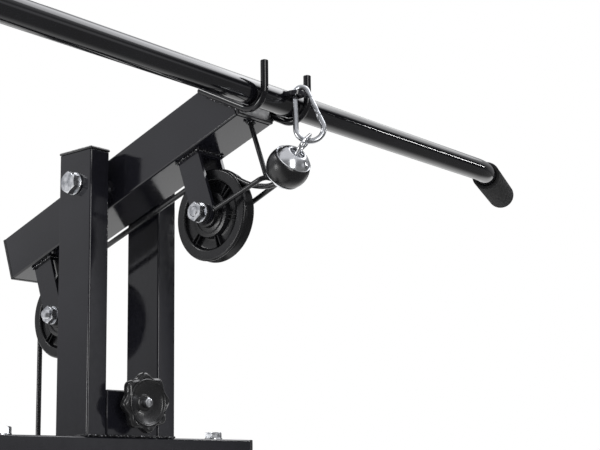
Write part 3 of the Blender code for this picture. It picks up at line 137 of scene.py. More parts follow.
FRONT_AXLE = beam_place(FRONT_PULLEY_ALONG, PULLEY_DROP)
REAR_AXLE = beam_place(REAR_PULLEY_ALONG, PULLEY_DROP)
DROP_Y = REAR_AXLE.y + CABLE_CENTRE
BAR_CENTRE = beam_place(-0.0229, 0.0164, 0.0153)
EYE_CENTRE = BAR_CENTRE + Vector((-0.0022, 0, 0.0032))
BALL_AXIS = Vector((-0.187, -0.788, 0.587)).normalized()
BALL_REACH = sqrt((GUARD_R + BALL_R + GAP) ** 2 - BALL_SINK ** 2)
BALL_CENTRE = beam_place(GUARD_FRONT - BALL_REACH, GUARD_DROP_FRONT + BALL_SINK, -0.003)


# Materials

NOISE_DETAIL, MOTTLE_SCALE = 3.0, 180.0
SLOTS, LOOKS = {}, {}


def link(out, into):
    out.id_data.links.new(out, into)


def make(tree, kind, **values):
    """A new shader node with some of its sockets set."""
    made = tree.nodes.new("ShaderNode" + kind)
    for key, value in values.items():
        made.inputs[key.replace("_", " ")].default_value = value
    return made


def pattern(tree, kind, scale):
    """A noise or cell texture in the piece's own metres."""
    if kind == "cells":
        made = make(tree, "TexVoronoi", Scale=scale)
        made.feature = "DISTANCE_TO_EDGE"
        out = made.outputs["Distance"]
    else:
        made = make(tree, "TexNoise", Scale=scale, Detail=NOISE_DETAIL)
        out = made.outputs["Fac"]
    link(make(tree, "TexCoord").outputs["Object"], made.inputs["Vector"])
    return out


def spread(value, low, high, at=(0.35, 0.65), soft=False):
    """Maps a range of a value to two limits, evenly or with soft ends."""
    made = make(value.id_data, "MapRange", From_Min=at[0], From_Max=at[1], To_Min=low, To_Max=high)
    made.interpolation_type = "SMOOTHSTEP" if soft else "LINEAR"
    link(value, made.inputs["Value"])
    return made.outputs["Result"]


def finish(slot, name, dark, pale, rough, grain, bump, kind="noise", metal=0.0, tone_scale=14.0, depth=0.0002,
           specular=0.5, sheen=0.0, tone_at=(0.35, 0.65)):
    """One procedural finish: tone by a soft noise, roughness by a finer one, and a relief of its own grain.

    The first finish of a slot is also the one of the slot's CAD pieces that stay.
    """
    made = bpy.data.materials.new(name)
    SLOTS[made.name] = slot
    LOOKS.setdefault(slot, made)
    made.use_nodes = True
    tree = made.node_tree
    shader = tree.nodes["Principled BSDF"]
    shader.inputs["Metallic"].default_value = metal
    shader.inputs["Specular IOR Level"].default_value = specular
    shader.inputs["Sheen Weight"].default_value = sheen
    mix = make(tree, "Mix")
    mix.data_type = "RGBA"
    mix.inputs[6].default_value = (*dark, 1)
    mix.inputs[7].default_value = (*pale, 1)
    link(spread(pattern(tree, "noise", tone_scale), 0, 1.0, tone_at), mix.inputs[0])
    link(mix.outputs[2], shader.inputs["Base Color"])
    link(spread(pattern(tree, "noise", MOTTLE_SCALE), *rough), shader.inputs["Roughness"])
    height = pattern(tree, kind, grain)
    if kind == "cells":
        height = spread(height, 0, 1.0, (0, 0.12))
    relief = make(tree, "Bump", Strength=bump, Distance=depth)
    link(height, relief.inputs["Height"])
    link(relief.outputs["Normal"], shader.inputs["Normal"])
    made.diffuse_color = (*pale, 1)
    return made


PAINT = finish("black_steel", "black_coat", (0.0062, 0.0062, 0.0084), (0.0088, 0.0088, 0.0118), (0.09, 0.16),
               700, bump=0.05)
BAR_PAINT = finish("bar_steel", "bar_coat", (0.003, 0.003, 0.004), (0.005, 0.005, 0.0062), (0.06, 0.1),
                   500, bump=0.04, specular=0.6)
WIRE_PAINT = finish("black_steel", "wire_coat", (0.0055, 0.0055, 0.0062), (0.0085, 0.0085, 0.0095),
                    (0.12, 0.22), 900, bump=0.08, specular=0.35)
HOOK_PAINT = finish("black_steel", "hook_coat", (0.0035, 0.0035, 0.0045), (0.006, 0.006, 0.0072), (0.06, 0.12),
                    700, bump=0.04, specular=0.36)
# Weld beads: black coat with rare pale metallic specks, which stand for bare spatter and painted glints
WELD = finish("black_steel", "weld_coat_and_painted_glints", (0.006, 0.006, 0.007), (0.42, 0.42, 0.44), (0.08, 0.26),
              1500, bump=0.7, depth=0.0004, metal=0.5, tone_scale=700.0, tone_at=(0.58, 0.66))
ZINC = finish("zinc", "zinc_plate", (0.3, 0.31, 0.33), (0.66, 0.67, 0.69), (0.18, 0.38),
              1400, metal=1.0, tone_scale=160.0, bump=0.1)
WIRE_ZINC = finish("zinc", "zinc_wire", (0.4, 0.41, 0.43), (0.52, 0.53, 0.55), (0.17, 0.27),
                   900, metal=1.0, tone_scale=90.0, bump=0.03)
CHROME = finish("chrome", "chrome_plate", (0.56, 0.57, 0.59), (0.64, 0.65, 0.67), (0.08, 0.13),
                400, metal=1.0, tone_scale=25.0, bump=0.015)
CAP_CHROME = finish("chrome", "cap_chrome", (0.6, 0.61, 0.63), (0.68, 0.69, 0.71), (0.16, 0.23),
                    500, metal=1.0, tone_scale=40.0, bump=0.02)
NYLON = finish("pulley_nylon", "pulley_nylon", (0.0032, 0.0032, 0.0038), (0.0058, 0.0058, 0.0066), (0.2, 0.3),
               1200, bump=0.08, specular=0.38)
PLASTIC = finish("cap_plastic", "cap_plastic", (0.0085, 0.0085, 0.0095), (0.014, 0.014, 0.015), (0.3, 0.44),
                 1500, bump=0.16)
KNOB_PLASTIC = finish("knob_plastic", "knob_plastic", (0.005, 0.005, 0.0055), (0.0095, 0.0095, 0.01),
                      (0.2, 0.3), 1100, bump=0.1)
RUBBER = finish("black_rubber", "black_rubber", (0.0045, 0.0045, 0.005), (0.008, 0.008, 0.009), (0.24, 0.32),
                800, bump=0.06)
FOAM = finish("foam", "foam", (0.0085, 0.0085, 0.0088), (0.015, 0.015, 0.015), (0.82, 0.95),
              900, kind="cells", bump=0.4, depth=0.0004, specular=0.22, tone_scale=520.0)
SHEATH = finish("cable_sheath", "cable_sheath", (0.008, 0.008, 0.009), (0.013, 0.013, 0.014), (0.2, 0.3),
                600, bump=0.06)
VINYL = finish("vinyl", "black_vinyl", (0.012, 0.012, 0.013), (0.026, 0.026, 0.028), (0.38, 0.52),
               520, kind="cells", bump=0.34, depth=0.0004, tone_scale=30.0, sheen=0.05)

# How far the edges of the CAD pieces that stay are eased
EASE = {"black_steel": 0.0005, "cap_plastic": 0.0004, "zinc": 0.0002}
EASE_OTHERS = 0.0003


# Mesh helpers

def new_object(name, data):
    obj = bpy.data.objects.new(name, data)
    bpy.context.scene.collection.objects.link(obj)
    return obj


def to_mesh(bm, name):
    bmesh.ops.recalc_face_normals(bm, faces=bm.faces[:])
    mesh = bpy.data.meshes.new(name)
    bm.to_mesh(mesh)
    bm.free()
    return mesh


def dress(obj, look, stands_for):
    """Gives a piece its finish and smooth shading, and hides the node that it may stand for."""
    obj.data.materials.append(look)
    obj.data.shade_smooth()
    if stands_for:
        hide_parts(stands_for)


def add(name, bm, look, body, stands_for=None, crease=35.0):
    """Adds a dressed piece that rides on a body, with edges above the crease angle left sharp."""
    obj = new_object(name, to_mesh(bm, name))
    dress(obj, look, stands_for)
    obj.data.set_sharp_from_angle(angle=radians(crease))
    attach(obj, body)
    return obj


def modify(obj, name, kind, **values):
    made = obj.modifiers.new(name, kind)
    for key, value in values.items():
        setattr(made, key, value)
    return made


def turn_to(axis, at=(0, 0, 0)):
    """A placement whose own +Z points along an axis."""
    return shift(at) @ Vector(axis).normalized().to_track_quat("Z", "Y").to_matrix().to_4x4()


def polar(bm, rings, steps, place, closed=False):
    """Skins rings about +Z. A ring is (radius, height) or a function of the angle that gives them."""
    made = []
    for ring in rings:
        if not callable(ring) and ring[0] == 0.0:
            made.append([bm.verts.new(place @ Vector((0, 0, ring[1])))])
            continue
        loop = []
        for i in range(steps):
            a = tau * i / steps
            r, z = ring(a) if callable(ring) else ring
            loop.append(bm.verts.new(place @ Vector((r * cos(a), r * sin(a), z))))
        made.append(loop)
    pairs = list(zip(made, made[1:])) + ([(made[-1], made[0])] if closed else [])
    for one, two in pairs:
        for i in range(steps):
            four = (one[i % len(one)], two[i % len(two)], two[(i + 1) % len(two)], one[(i + 1) % len(one)])
            corners = list(dict.fromkeys(four))
            if len(corners) > 2:
                bm.faces.new(corners)


def lathe(profile, place, steps, closed=False):
    bm = bmesh.new()
    polar(bm, profile, steps, place, closed)
    return bm


def rounded(points, radius, steps=3, closed=False):
    """Fillets the corners of a (radius, height) line."""
    count = len(points)
    out = []
    for i, point in enumerate(points):
        if not closed and i in (0, count - 1):
            out.append(tuple(point))
            continue
        here, before, after = Vector(point), Vector(points[i - 1]), Vector(points[(i + 1) % count])
        cut = min(radius, (before - here).length * 0.45, (after - here).length * 0.45)
        one = here + (before - here).normalized() * cut
        two = here + (after - here).normalized() * cut
        for k in range(steps + 1):
            t = k / steps
            out.append(tuple(one * (1 - t) ** 2 + here * 2 * t * (1 - t) + two * t * t))
    return out


def sweep(bm, points, radius, sides=20, cyclic=False, round_ends=False):
    """A tube along points. radius is a number or a function of the share of the way."""
    points = [Vector(p) for p in points]
    count = len(points)
    size = radius if callable(radius) else (lambda t: radius)
    ways = []
    for i in range(count):
        before = points[i - 1] if (i or cyclic) else points[i]
        after = points[(i + 1) % count] if (i < count - 1 or cyclic) else points[i]
        ways.append((after - before).normalized())
    side = ways[0].orthogonal().normalized()
    loops = []

    def ring(centre, way, across, r):
        other = way.cross(across)
        return [bm.verts.new(centre + (across * cos(a) + other * sin(a)) * r)
                for a in (tau * k / sides for k in range(sides))]

    for i, (point, way) in enumerate(zip(points, ways)):
        if i:
            side = (ways[i - 1].rotation_difference(way) @ side).normalized()
        r = size(i / max(count - 1, 1))
        if round_ends and not cyclic and i in (0, count - 1):
            sign = -1 if i == 0 else 1
            bulges = [(sin(t), cos(t)) for t in (0.35, 0.8, 1.2)]
            dome = [ring(point + way * sign * r * up * 0.5, way, side, r * wide) for up, wide in bulges]
            edge = ring(point, way, side, r)
            loops += list(reversed(dome)) + [edge] if i == 0 else [edge] + dome
        else:
            loops.append(ring(point, way, side, r))
    pairs = list(zip(loops, loops[1:])) + ([(loops[-1], loops[0])] if cyclic else [])
    for one, two in pairs:
        for k in range(sides):
            j = (k + 1) % sides
            bm.faces.new((one[k], one[j], two[j], two[k]))
    if not cyclic:
        bm.faces.new(list(reversed(loops[0])))
        bm.faces.new(loops[-1])


def wire(points, radius, sides=20, cyclic=False):
    bm = bmesh.new()
    sweep(bm, points, radius, sides, cyclic)
    return bm


def stepped(sizes):
    """A radius that goes through a list of sizes along the way."""
    last = len(sizes) - 1
    return lambda t: sizes[min(int(t * last + 0.5), last)]


def block(bm, low, high, place, bevel, segments):
    """A block between two corners with its edges rounded."""
    made = bmesh.ops.create_cube(bm, size=1.0)["verts"]
    low, high = Vector(low), Vector(high)
    for v in made:
        v.co = Vector(v.co[k] * (high - low)[k] + (high + low)[k] / 2 for k in range(3))
    edges = list(dict.fromkeys(e for v in made for e in v.link_edges))
    out = bmesh.ops.bevel(bm, geom=edges, offset=bevel, segments=segments, profile=0.5, affect="EDGES")
    verts = {v for f in out["faces"] for v in f.verts} | {v for v in made if v.is_valid}
    for v in verts:
        v.co = place @ v.co


def smooth_route(knots, steps):
    """Points of a smooth curve through knots (Catmull-Rom)."""
    knots = [Vector(k) for k in knots]
    padded = [knots[0] * 2 - knots[1]] + knots + [knots[-1] * 2 - knots[-2]]
    route = []
    for i in range(1, len(padded) - 2):
        a, b, c, d = padded[i - 1:i + 3]
        for j in range(steps):
            t = j / steps
            square, cube = a * 2 - b * 5 + c * 4 - d, b * 3 - a - c * 3 + d
            route.append((b * 2 + (c - a) * t + square * t * t + cube * t ** 3) / 2)
    route.append(knots[-1])
    return route


def between(first, last, steps):
    """Even steps from first to last, with both ends."""
    return [first + (last - first) * i / steps for i in range(steps + 1)]


def arc(centre, radius, first, last, steps):
    return [(centre[0] + radius * cos(a), centre[1] + radius * sin(a)) for a in between(first, last, steps)]


def hexagon(flats, low, high):
    """Rings of a hexagonal nut or head with turned corners."""
    corner = flats * 0.49
    slope = tan(radians(30))

    def reach(a):
        turn = (a + pi / 6) % (pi / 3) - pi / 6
        return flats / 2 / cos(turn)

    def upper(a):
        return reach(a), high - max(reach(a) - corner, 0) * slope

    def lower(a):
        return reach(a), low + max(reach(a) - corner, 0) * slope * 0.4

    return [lower, upper, (corner, high), (corner * 0.97, high)]


def threads(radius, low, high, pitch=0.0011):
    """Rings of a thread that runs down from high to low."""
    count = max(int((high - low) / pitch), 1)
    rings = []
    for i in range(count):
        z = high - i * pitch
        rings += [(radius, z), (radius * 0.9, z - pitch * 0.5)]
    return rings + [(radius * 0.96, low + 0.0008), (radius * 0.8, low), (0, low)]


def bolt(node, radius, grip, tail, place, far_nut=False):
    """A hex bolt seen from its head: z = 0 is the seat under its washer, the shank runs along -Z."""
    washer, wide, head, flats = radius * 0.34, radius * 2.0, radius * 1.3, radius * 3.4
    top = GAP + washer
    head_top = top + head
    rings = [(0, head_top + radius * 0.04), (radius * 1.1, head_top + radius * 0.02)]
    rings += list(reversed(hexagon(flats, top, head_top)))
    rings += [(wide * 0.97, top), (wide, top - washer * 0.3), (wide, GAP + washer * 0.2), (wide * 0.98, GAP)]
    rings += [(radius, GAP), (radius, -grip * 0.5)]
    if far_nut:
        far = -grip - GAP
        seat = far - washer
        nut_low = seat - head
        lower, upper, turned, _ = hexagon(flats, 0, head)
        rings += [(radius, far), (wide * 0.98, far), (wide, far - washer * 0.2), (wide, far - washer * 0.8)]
        rings += [(wide * 0.97, seat), lambda a: (lower(a)[0], seat - lower(a)[1]),
                  lambda a: (upper(a)[0], seat - upper(a)[1]), (turned[0], nut_low), (radius * 1.02, nut_low)]
        rings += threads(radius, -grip - tail, nut_low - 0.0004)
    else:
        rings += threads(radius, -grip - tail, -grip * 0.6)
    add(node + "_fine", lathe(rings, place, 48), ZINC, FRAME, node, 25.0)


def weld(name, routes, size, seed, body=FRAME, spatter=7):
    """Painted weld beads: overlapping lumps along each route, with a few spatter beads. Their finish has pale
    specks: bare spatter and painted glints.
    """
    chance = random.Random(seed)
    bm = bmesh.new()

    def stray(reach):
        return Vector((chance.uniform(-1, 1), chance.uniform(-1, 1), chance.uniform(-1, 1))) * size * reach

    for route in routes:
        length = sum((b - a).length for a, b in zip(route, route[1:]))
        count = max(int(length / (size * 0.3)), 6)
        fine = []
        for i in range(count + 1):
            want, k = length * i / count, 0
            while k < len(route) - 2 and want > (route[k + 1] - route[k]).length:
                want -= (route[k + 1] - route[k]).length
                k += 1
            step = (route[k + 1] - route[k]).normalized()
            wander = stray(0.12)
            fine.append(route[k] + step * want + wander)
        lumps = [size * (0.74 + 0.26 * abs(sin(i * 1.15))) * chance.uniform(0.86, 1.1)
                 for i in range(count + 1)]
        lumps[0] *= 0.6
        lumps[-1] *= 0.6
        sweep(bm, fine, stepped(lumps), 9, round_ends=True)
        for _ in range(max(count // spatter, 1)):
            at = shift(chance.choice(fine) + stray(1.1))
            bmesh.ops.create_icosphere(bm, subdivisions=2, radius=size * chance.uniform(0.22, 0.36), matrix=at)
    add(name, bm, WELD, body, None, 60.0)


def ring_route(half_x, half_y, place):
    """A closed line round a rectangular tube, in its own XY plane."""
    corner = 0.003
    flat = []
    for sx, sy, first in ((1, 1, 0), (-1, 1, 90), (-1, -1, 180), (1, -1, 270)):
        centre = (sx * half_x - sx * corner, sy * half_y - sy * corner)
        flat += arc(centre, corner, radians(first), radians(first + 90), 3)
    flat.append(flat[0])
    return [place @ Vector((x, y, 0)) for x, y in flat]


# Camera and light

def camera():
    data = bpy.data.cameras.new("camera")
    data.lens, data.sensor_width, data.shift_y = 74.47, 36.0, 0.1
    data.clip_start = 0.02
    obj = new_object("camera", data)
    right = Vector((0.6464, -0.7629, -0.012))
    up = Vector((-0.1096, -0.1084, 0.988))
    ahead = Vector((0.7551, 0.6373, 0.1537))
    place = Matrix((right, up, -ahead)).transposed().to_4x4()
    place.translation = Vector((-0.8682, -0.9853, 1.6364))
    obj.matrix_world = place
    bpy.context.scene.camera = obj


def lamp(name, at, aim, size, power, shape="RECTANGLE"):
    data = bpy.data.lights.new(name, "AREA")
    data.shape, data.size, data.size_y, data.energy = shape, size[0], size[1], power
    obj = new_object(name, data)
    obj.location = at
    obj.rotation_mode = "QUATERNION"
    obj.rotation_quaternion = (Vector(aim) - Vector(at)).to_track_quat("-Z", "Y")


def reckon(operation, one, two):
    """Reckons with a socket and another socket or a number."""
    made = make(one.id_data, "Math")
    made.operation = operation
    link(one, made.inputs[0])
    if isinstance(two, float):
        made.inputs[1].default_value = two
    else:
        link(two, made.inputs[1])
    return made.outputs[0]


def for_gloss(path, value):
    """A strength that only glossy rays see; the others see 1."""
    made = make(path.id_data, "Mix")
    made.inputs[2].default_value = 1.0
    link(path.outputs["Is Glossy Ray"], made.inputs[0])
    link(value, made.inputs[3])
    return made.outputs[0]


def blend_shaders(share, one, two, into):
    made = make(into.id_data, "MixShader")
    for k, out in enumerate((share, one, two)):
        link(out, made.inputs[k])
    link(made.outputs[0], into)


def surround(scene):
    """A white surround with one dark flag. Gloss sees it dimmer, with soft panels."""
    world = bpy.data.worlds.new("studio")
    scene.world = world
    world.use_nodes = True
    tree = world.node_tree
    tree.nodes.clear()
    path, split = make(tree, "LightPath"), make(tree, "SeparateXYZ")
    where = make(tree, "TexCoord").outputs["Generated"]
    link(where, split.inputs[0])
    x, y, z = (split.outputs[axis] for axis in "XYZ")

    def panel(way, at, high=1.0, low=0.0):
        """A round patch of the surround, which changes softly from low to high towards one direction."""
        made = make(tree, "VectorMath")
        made.operation = "DOT_PRODUCT"
        made.inputs[1].default_value = Vector(way).normalized()
        link(where, made.inputs[0])
        return spread(made.outputs["Value"], low, high, at, True)

    flag = panel((0.8, -0.56, 0.22), (0.955, 0.993), 0.03, 0.8)
    rise = spread(z, 0.52, 1.0, (-0.04, 0.24), True)
    left = panel((-0.755, 0.637, 0.14), (0.74, 0.95))
    front = panel((0.6, -0.8, 0), (0.97, 0.997))
    above = spread(z, 0, 1.0, (0.3, 0.62), True)
    gloss = reckon("MAXIMUM", reckon("MAXIMUM", left, front), above)
    gloss = spread(gloss, 0.36, 1.0, (0, 1.0))
    softbox = panel((0.62, -0.25, 0.74), (0.84, 0.98), 4.6)
    softbox = reckon("MULTIPLY", softbox, spread(y, 0, 1.0, (-0.56, -0.46), True))
    softbox = reckon("MULTIPLY", softbox, spread(x, 1.0, 0, (0.7, 0.77), True))
    gloss = reckon("ADD", gloss, panel((0.62, -0.77, 0), (0.955, 0.985), 0.3))
    gloss = reckon("ADD", gloss, softbox)
    level = reckon("MULTIPLY", flag, rise)
    level = reckon("MULTIPLY", level, for_gloss(path, gloss))
    lit = make(tree, "Background", Color=(0.965, 0.97, 1.0, 1))
    white = make(tree, "Background", Color=(1, 1, 1, 1))
    link(level, lit.inputs["Strength"])
    seen = reckon("MAXIMUM", path.outputs["Is Camera Ray"], path.outputs["Is Transmission Ray"])
    blend_shaders(seen, lit.outputs[0], white.outputs[0], make(tree, "OutputWorld").inputs["Surface"])


def ground():
    """A pale floor, part lit and part glowing, which gloss sees dimmer in front of the object."""
    bm = bmesh.new()
    bmesh.ops.create_grid(bm, x_segments=8, y_segments=8, size=60.0)
    floor = new_object("floor", to_mesh(bm, "floor"))
    look = bpy.data.materials.new("floor")
    look.use_nodes = True
    tree = look.node_tree
    shader = tree.nodes["Principled BSDF"]
    shader.inputs["Base Color"].default_value = (0.84, 0.84, 0.85, 1)
    shader.inputs["Roughness"].default_value = 0.7
    path, split, glow = make(tree, "LightPath"), make(tree, "SeparateXYZ"), make(tree, "Emission")
    link(make(tree, "TexCoord").outputs["Object"], split.inputs[0])
    behind = spread(split.outputs["Y"], 0.24, 1.35, (-0.9, 0.9), True)
    link(for_gloss(path, behind), glow.inputs["Strength"])
    share = reckon("MULTIPLY", path.outputs["Is Camera Ray"], 0.45)
    share = reckon("ADD", path.outputs["Is Glossy Ray"], share)
    out = tree.nodes["Material Output"]
    blend_shaders(share, shader.outputs[0], glow.outputs[0], out.inputs["Surface"])
    floor.data.materials.append(look)
    floor.location.z = -0.0005


def studio():
    scene = bpy.context.scene
    scene.view_settings.view_transform = "Standard"
    surround(scene)
    ground()
    lamp("key", (-1.3, -3.1, 2.2), (0, -0.2, 1.6), (1.0, 2.0), 46)
    lamp("top", (2.6, -0.2, 4.1), (0, -0.2, 1.8), (2.8, 1.0), 11)
    lamp("line", (2.1, -1.45, 2.47), (0.25, -0.22, 2.0), (0.55, 0.03), 3.2)
    lamp("rim", (0.9, 1.8, 4.0), (0, 0, 1.8), (1.2, 1.2), 13)
    lamp("side", (-2.6, 1.0, 1.75), (0, -0.2, 1.9), (0.7, 0.7), 15)
    lamp("spark", (-1.5, 0.9, 3.6), (0, -0.1, 1.9), (0.6, 0.6), 13, "ELLIPSE")


# Tower top: what the photograph shows

def pulley(name, axle, body, node):
    """A nylon wheel: turned rims round its groove, a hub, and paired ribs on both sides of its web."""
    rim, web, boss = 0.00775, 0.0025, 0.0132
    upper = [
        (0.0053, boss), (0.013, boss), (0.0134, 0.0085), (0.0225, 0.0083), (0.0235, web), (0.03, web),
        (0.0332, web + 0.0006), (0.0344, web + 0.002), (0.0354, rim - 0.0007), (0.0364, rim), (0.044, rim),
        (0.0448, rim - 0.0001), (0.0459, rim - 0.0009), (PULLEY_R, rim - 0.0015), (PULLEY_R, rim - 0.0024),
        (GROOVE_R, 0.0028),
    ]
    full = upper + [(r, -z) for r, z in reversed(upper)]
    place = turn_to(ACROSS, axle)
    bm = lathe(rounded(full, 0.0006, 2, closed=True), place, 112, closed=True)
    for side in (1, -1):
        for k in range(6):
            for twin in (-1, 1):
                turn = radians(60 * k - 12) + twin * radians(4.6)
                way = Vector((0, -cos(turn), sin(turn)))
                at = Matrix((ACROSS * side, way, ACROSS.cross(way))).transposed().to_4x4()
                at.translation = axle + ACROSS * side * web
                block(bm, (-0.0004, 0.0226, -0.0006), (0.0042, 0.0345, 0.0006), at, 0.0003, 1)
    for side in (1, -1):
        low, high = side * 0.008, side * 0.009
        polar(bm, [(0.0175, low), (0.0175, high), (0.019, high), (0.019, low)], 96, place, closed=True)
    add(name, bm, NYLON, body, node, 30.0)


def lat_bar():
    """The bar in one smooth run, its foam grips and the welds of its eye."""
    roll, tilt, bend = radians(6.0), radians(0.2), radians(23.8)
    straight, radius, end_run = 0.348, 0.085, 0.1485
    lean = Vector((0, cos(roll), sin(roll)))
    turned = Matrix.Rotation(tilt, 3, "Y")
    runs = {}
    for side, _ in SIDES:
        out = Vector((side, 0, 0))
        line = [out * straight * k / 10 for k in range(10)]
        for t in between(0, bend, 24):
            line.append(out * straight + out * radius * sin(t) + lean * radius * (1 - cos(t)))
        way = out * cos(bend) + lean * sin(bend)
        line.append(line[-1] + way * end_run)
        runs[side] = ([BAR_CENTRE + turned @ p for p in line], turned @ way)
    route = list(reversed(runs[-1][0]))[:-1] + runs[1][0]
    add("bar_tube", wire(route, BAR_R, 56), BAR_PAINT, BAR, "lat_bar")
    outer, inner, top = BAR_R + GAP + 0.004, BAR_R + 0.0002, GAP + 0.004
    low = top - 0.141
    profile = [(0, top - 0.0006), (0.006, top - 0.0006), (0.0075, top), (outer, top), (outer, low),
               (inner, low), (inner, low + 0.012)]
    for side, word in SIDES:
        line, way = runs[side]
        grip = lathe(rounded(profile, 0.0012, 4), turn_to(way, line[-1]), 80)
        add("grip_" + word + "_foam", grip, FOAM, BAR, "grip_" + word, 50.0)
    for word, z, seed in (("upper", 0.0026, 31), ("lower", -0.0026, 32)):
        line = [EYE_CENTRE + Vector((x, -0.0104, z)) for x in (-0.0082, 0, 0.0082)]
        weld("eye_weld_" + word, [line], 0.0016, seed, BAR)


def hooks():
    """The two bent rods that hold the bar, and the beads that hold them."""
    radius, reach, bend_r, splay, tail, steps = 0.0037, 0.0196, 0.0187, 0.0023, 0.067, 36
    swing = BAR_R + GAP + radius
    turn = radians(27.0)
    back, rise = cos(turn), sin(turn)
    way, normal = Vector((0, back, rise)), Vector((0, -rise, back))
    y = BAR_CENTRE.y - reach + bend_r
    z = BAR_CENTRE.z + (bend_r - swing + rise * (y - BAR_CENTRE.y)) / back
    bend = arc((y, z), bend_r, pi, 1.5 * pi + turn, steps)
    end_y, end_z = bend[-1]
    for side, word in SIDES:
        x, out = side * (TUBE / 2 + radius + GAP), side * splay
        prong = Vector((x + out, y - bend_r, BAR_CENTRE.z + 0.0263))
        points = [prong, prong - UP * 0.0004]
        points += [Vector((x + out * (1 - i / steps), a, b)) for i, (a, b) in enumerate(bend)]
        points.append(Vector((x, end_y + tail * back, end_z + tail * rise)))
        rod = wire(points, stepped([radius * 0.86] + [radius] * (len(points) - 1)), 28)
        add("hook_" + word + "_rod", rod, HOOK_PAINT, FRAME, "hook_" + word)
        base = Vector((side * BEAD_LINE, end_y, end_z))
        lines = [[base + way * a + normal * n for a in (0.012, 0.034, 0.058)] for n in (-0.0036, 0.0036)]
        weld("hook_" + word + "_weld", lines, 0.0013, 11 if side < 0 else 12)


def guard():
    """The guard rod with its strut, and their welds."""
    wide, narrow, bend, strut_r = 0.0155, 0.0125, 0.007, 0.0024
    corner = arc((-narrow + bend, GUARD_FRONT + bend), bend, pi, 1.5 * pi, 10)
    half = [(-wide, GUARD_REAR), (-narrow - 0.0005, GUARD_FRONT + bend + 0.012)] + corner
    flat = half + [(-x, a) for x, a in reversed(half)]
    fall = (GUARD_DROP_REAR - GUARD_DROP_FRONT) / (GUARD_REAR - GUARD_FRONT)
    path = [beam_place(a, GUARD_DROP_FRONT + (a - GUARD_FRONT) * fall, x) for x, a in flat]
    bm = wire(path, GUARD_R, 22)
    top = beam_place(0.0082, TUBE / 2 + GAP, -0.001)
    foot = beam_place(GUARD_FRONT, GUARD_DROP_FRONT - GUARD_R / 2, -0.0083)
    sweep(bm, [top.lerp(foot, t) for t in between(0, 1, 8)], strut_r, 20)
    add("guard_rod", bm, WIRE_PAINT, FRAME, "cable_guard")
    ring_r, end_r = 0.003, 0.0029
    ring = [top + beam_dir(ring_r * cos(a)) + ACROSS * ring_r * sin(a) for a in between(0, tau, 7)]
    arms = [[top + ACROSS * x for x in row] for row in ((-0.009, -0.004, 0), (0, 0.0045, 0.0075))]
    weld("strut_weld", [ring] + arms, 0.0014, 21, spatter=2)
    weld("strut_foot_weld", [[foot + Vector((x, 0, 0.0006)) for x in (-0.003, 0.003)]], 0.0011, 22)
    for side, word in SIDES:
        end = beam_place(GUARD_REAR - 0.0005, GUARD_DROP_REAR, side * wide)
        loop = [end + Vector((end_r * cos(a), 0, end_r * sin(a))) for a in between(0, tau, 6)]
        weld("guard_end_weld_" + word, [loop], 0.0012, 23 + side)


def bracket_welds():
    """Beads round the feet of both pulley brackets, heavier at the corners."""
    half = 0.01425
    for word, along, seed in (("front", FRONT_PULLEY_ALONG, 41), ("rear", REAR_PULLEY_ALONG, 45)):
        lines, corners = [], []
        for side in (-1, 1):
            x = side * (BRACKET_OUT + 0.0004)
            lines.append([beam_place(along + a, TUBE / 2 + 0.0007, x) for a in (-half, 0, half)])
        for a in (along - half - 0.0006, along + half + 0.0006):
            lines.append([beam_place(a, BEAD_LINE, x) for x in (-BRACKET_OUT, 0, BRACKET_OUT)])
        for side in (-1, 1):
            for end in (-half, half):
                at = beam_place(along + end, TUBE / 2 + 0.001, side * (BRACKET_OUT + 0.0008))
                corners.append([at + Vector((0, -0.0016, 0.001)), at, at + Vector((0, 0.0018, -0.0008))])
        weld(word + "_bracket_weld", lines, 0.0013, seed, spatter=4)
        weld(word + "_bracket_corners", corners, 0.0021, seed + 1, spatter=2)


def fasteners():
    """The bolts with their washers and nuts, and the front axle's own nut."""
    out = Vector((BRACKET_OUT, 0, 0))
    axle_grip, axle_tail = 2 * BRACKET_OUT, 0.0135
    bolt("front_axle_bolt", M10, axle_grip, axle_tail, turn_to(ACROSS, FRONT_AXLE + out))
    bolt("rear_axle_bolt", M10, axle_grip, axle_tail, turn_to(ACROSS, REAR_AXLE + out), True)
    reach = 0.0602
    bolt("beam_bolt", M12, 2 * reach, 0.012, turn_to((-1, 0, 0), (-reach, 0, BOLT_Z)), True)
    for side, word in SIDES:
        place = shift((side * ROD_X, 0, TOWER)) @ Matrix.Rotation(radians(5), 4, "Z")
        bolt("rod_bolt_" + word, M10, TUBE, 0.022, place)
    lug = 0.02 + GAP + 0.005
    bolt("lever_pivot", M12, 2 * lug, 0.012, turn_to(ACROSS, (lug, LEVER_Y, LEVER_Z)), True)
    # Front axle: a black spacer, two plated washers in one ring, and the nut
    place = turn_to((-1, 0, 0), FRONT_AXLE - out - Vector((GAP, 0, 0)))
    bore, under, seat, nut_top = 0.0053, 0.0028, 0.0046, 0.0123
    washers = [(bore, under), (bore, seat), (0.0096, seat), (0.01, 0.0042), (0.01, 0.0032), (0.0097, under)]
    bm = lathe(rounded(washers, 0.0002, 1, closed=True), place, 64, closed=True)
    nut = hexagon(0.017, seat - 0.0002, nut_top)
    polar(bm, [(bore, seat - 0.0002)] + nut + [(bore, nut_top)], 48, place, closed=True)
    add("front_axle_nut_fine", bm, ZINC, FRAME, "front_axle_nut", 25.0)
    ring = rounded([(bore, 0), (bore, 0.0027), (0.0098, 0.0027), (0.0098, 0)], 0.0004, 2, closed=True)
    add("front_axle_spacer", lathe(ring, place, 64, closed=True), PLASTIC, FRAME)


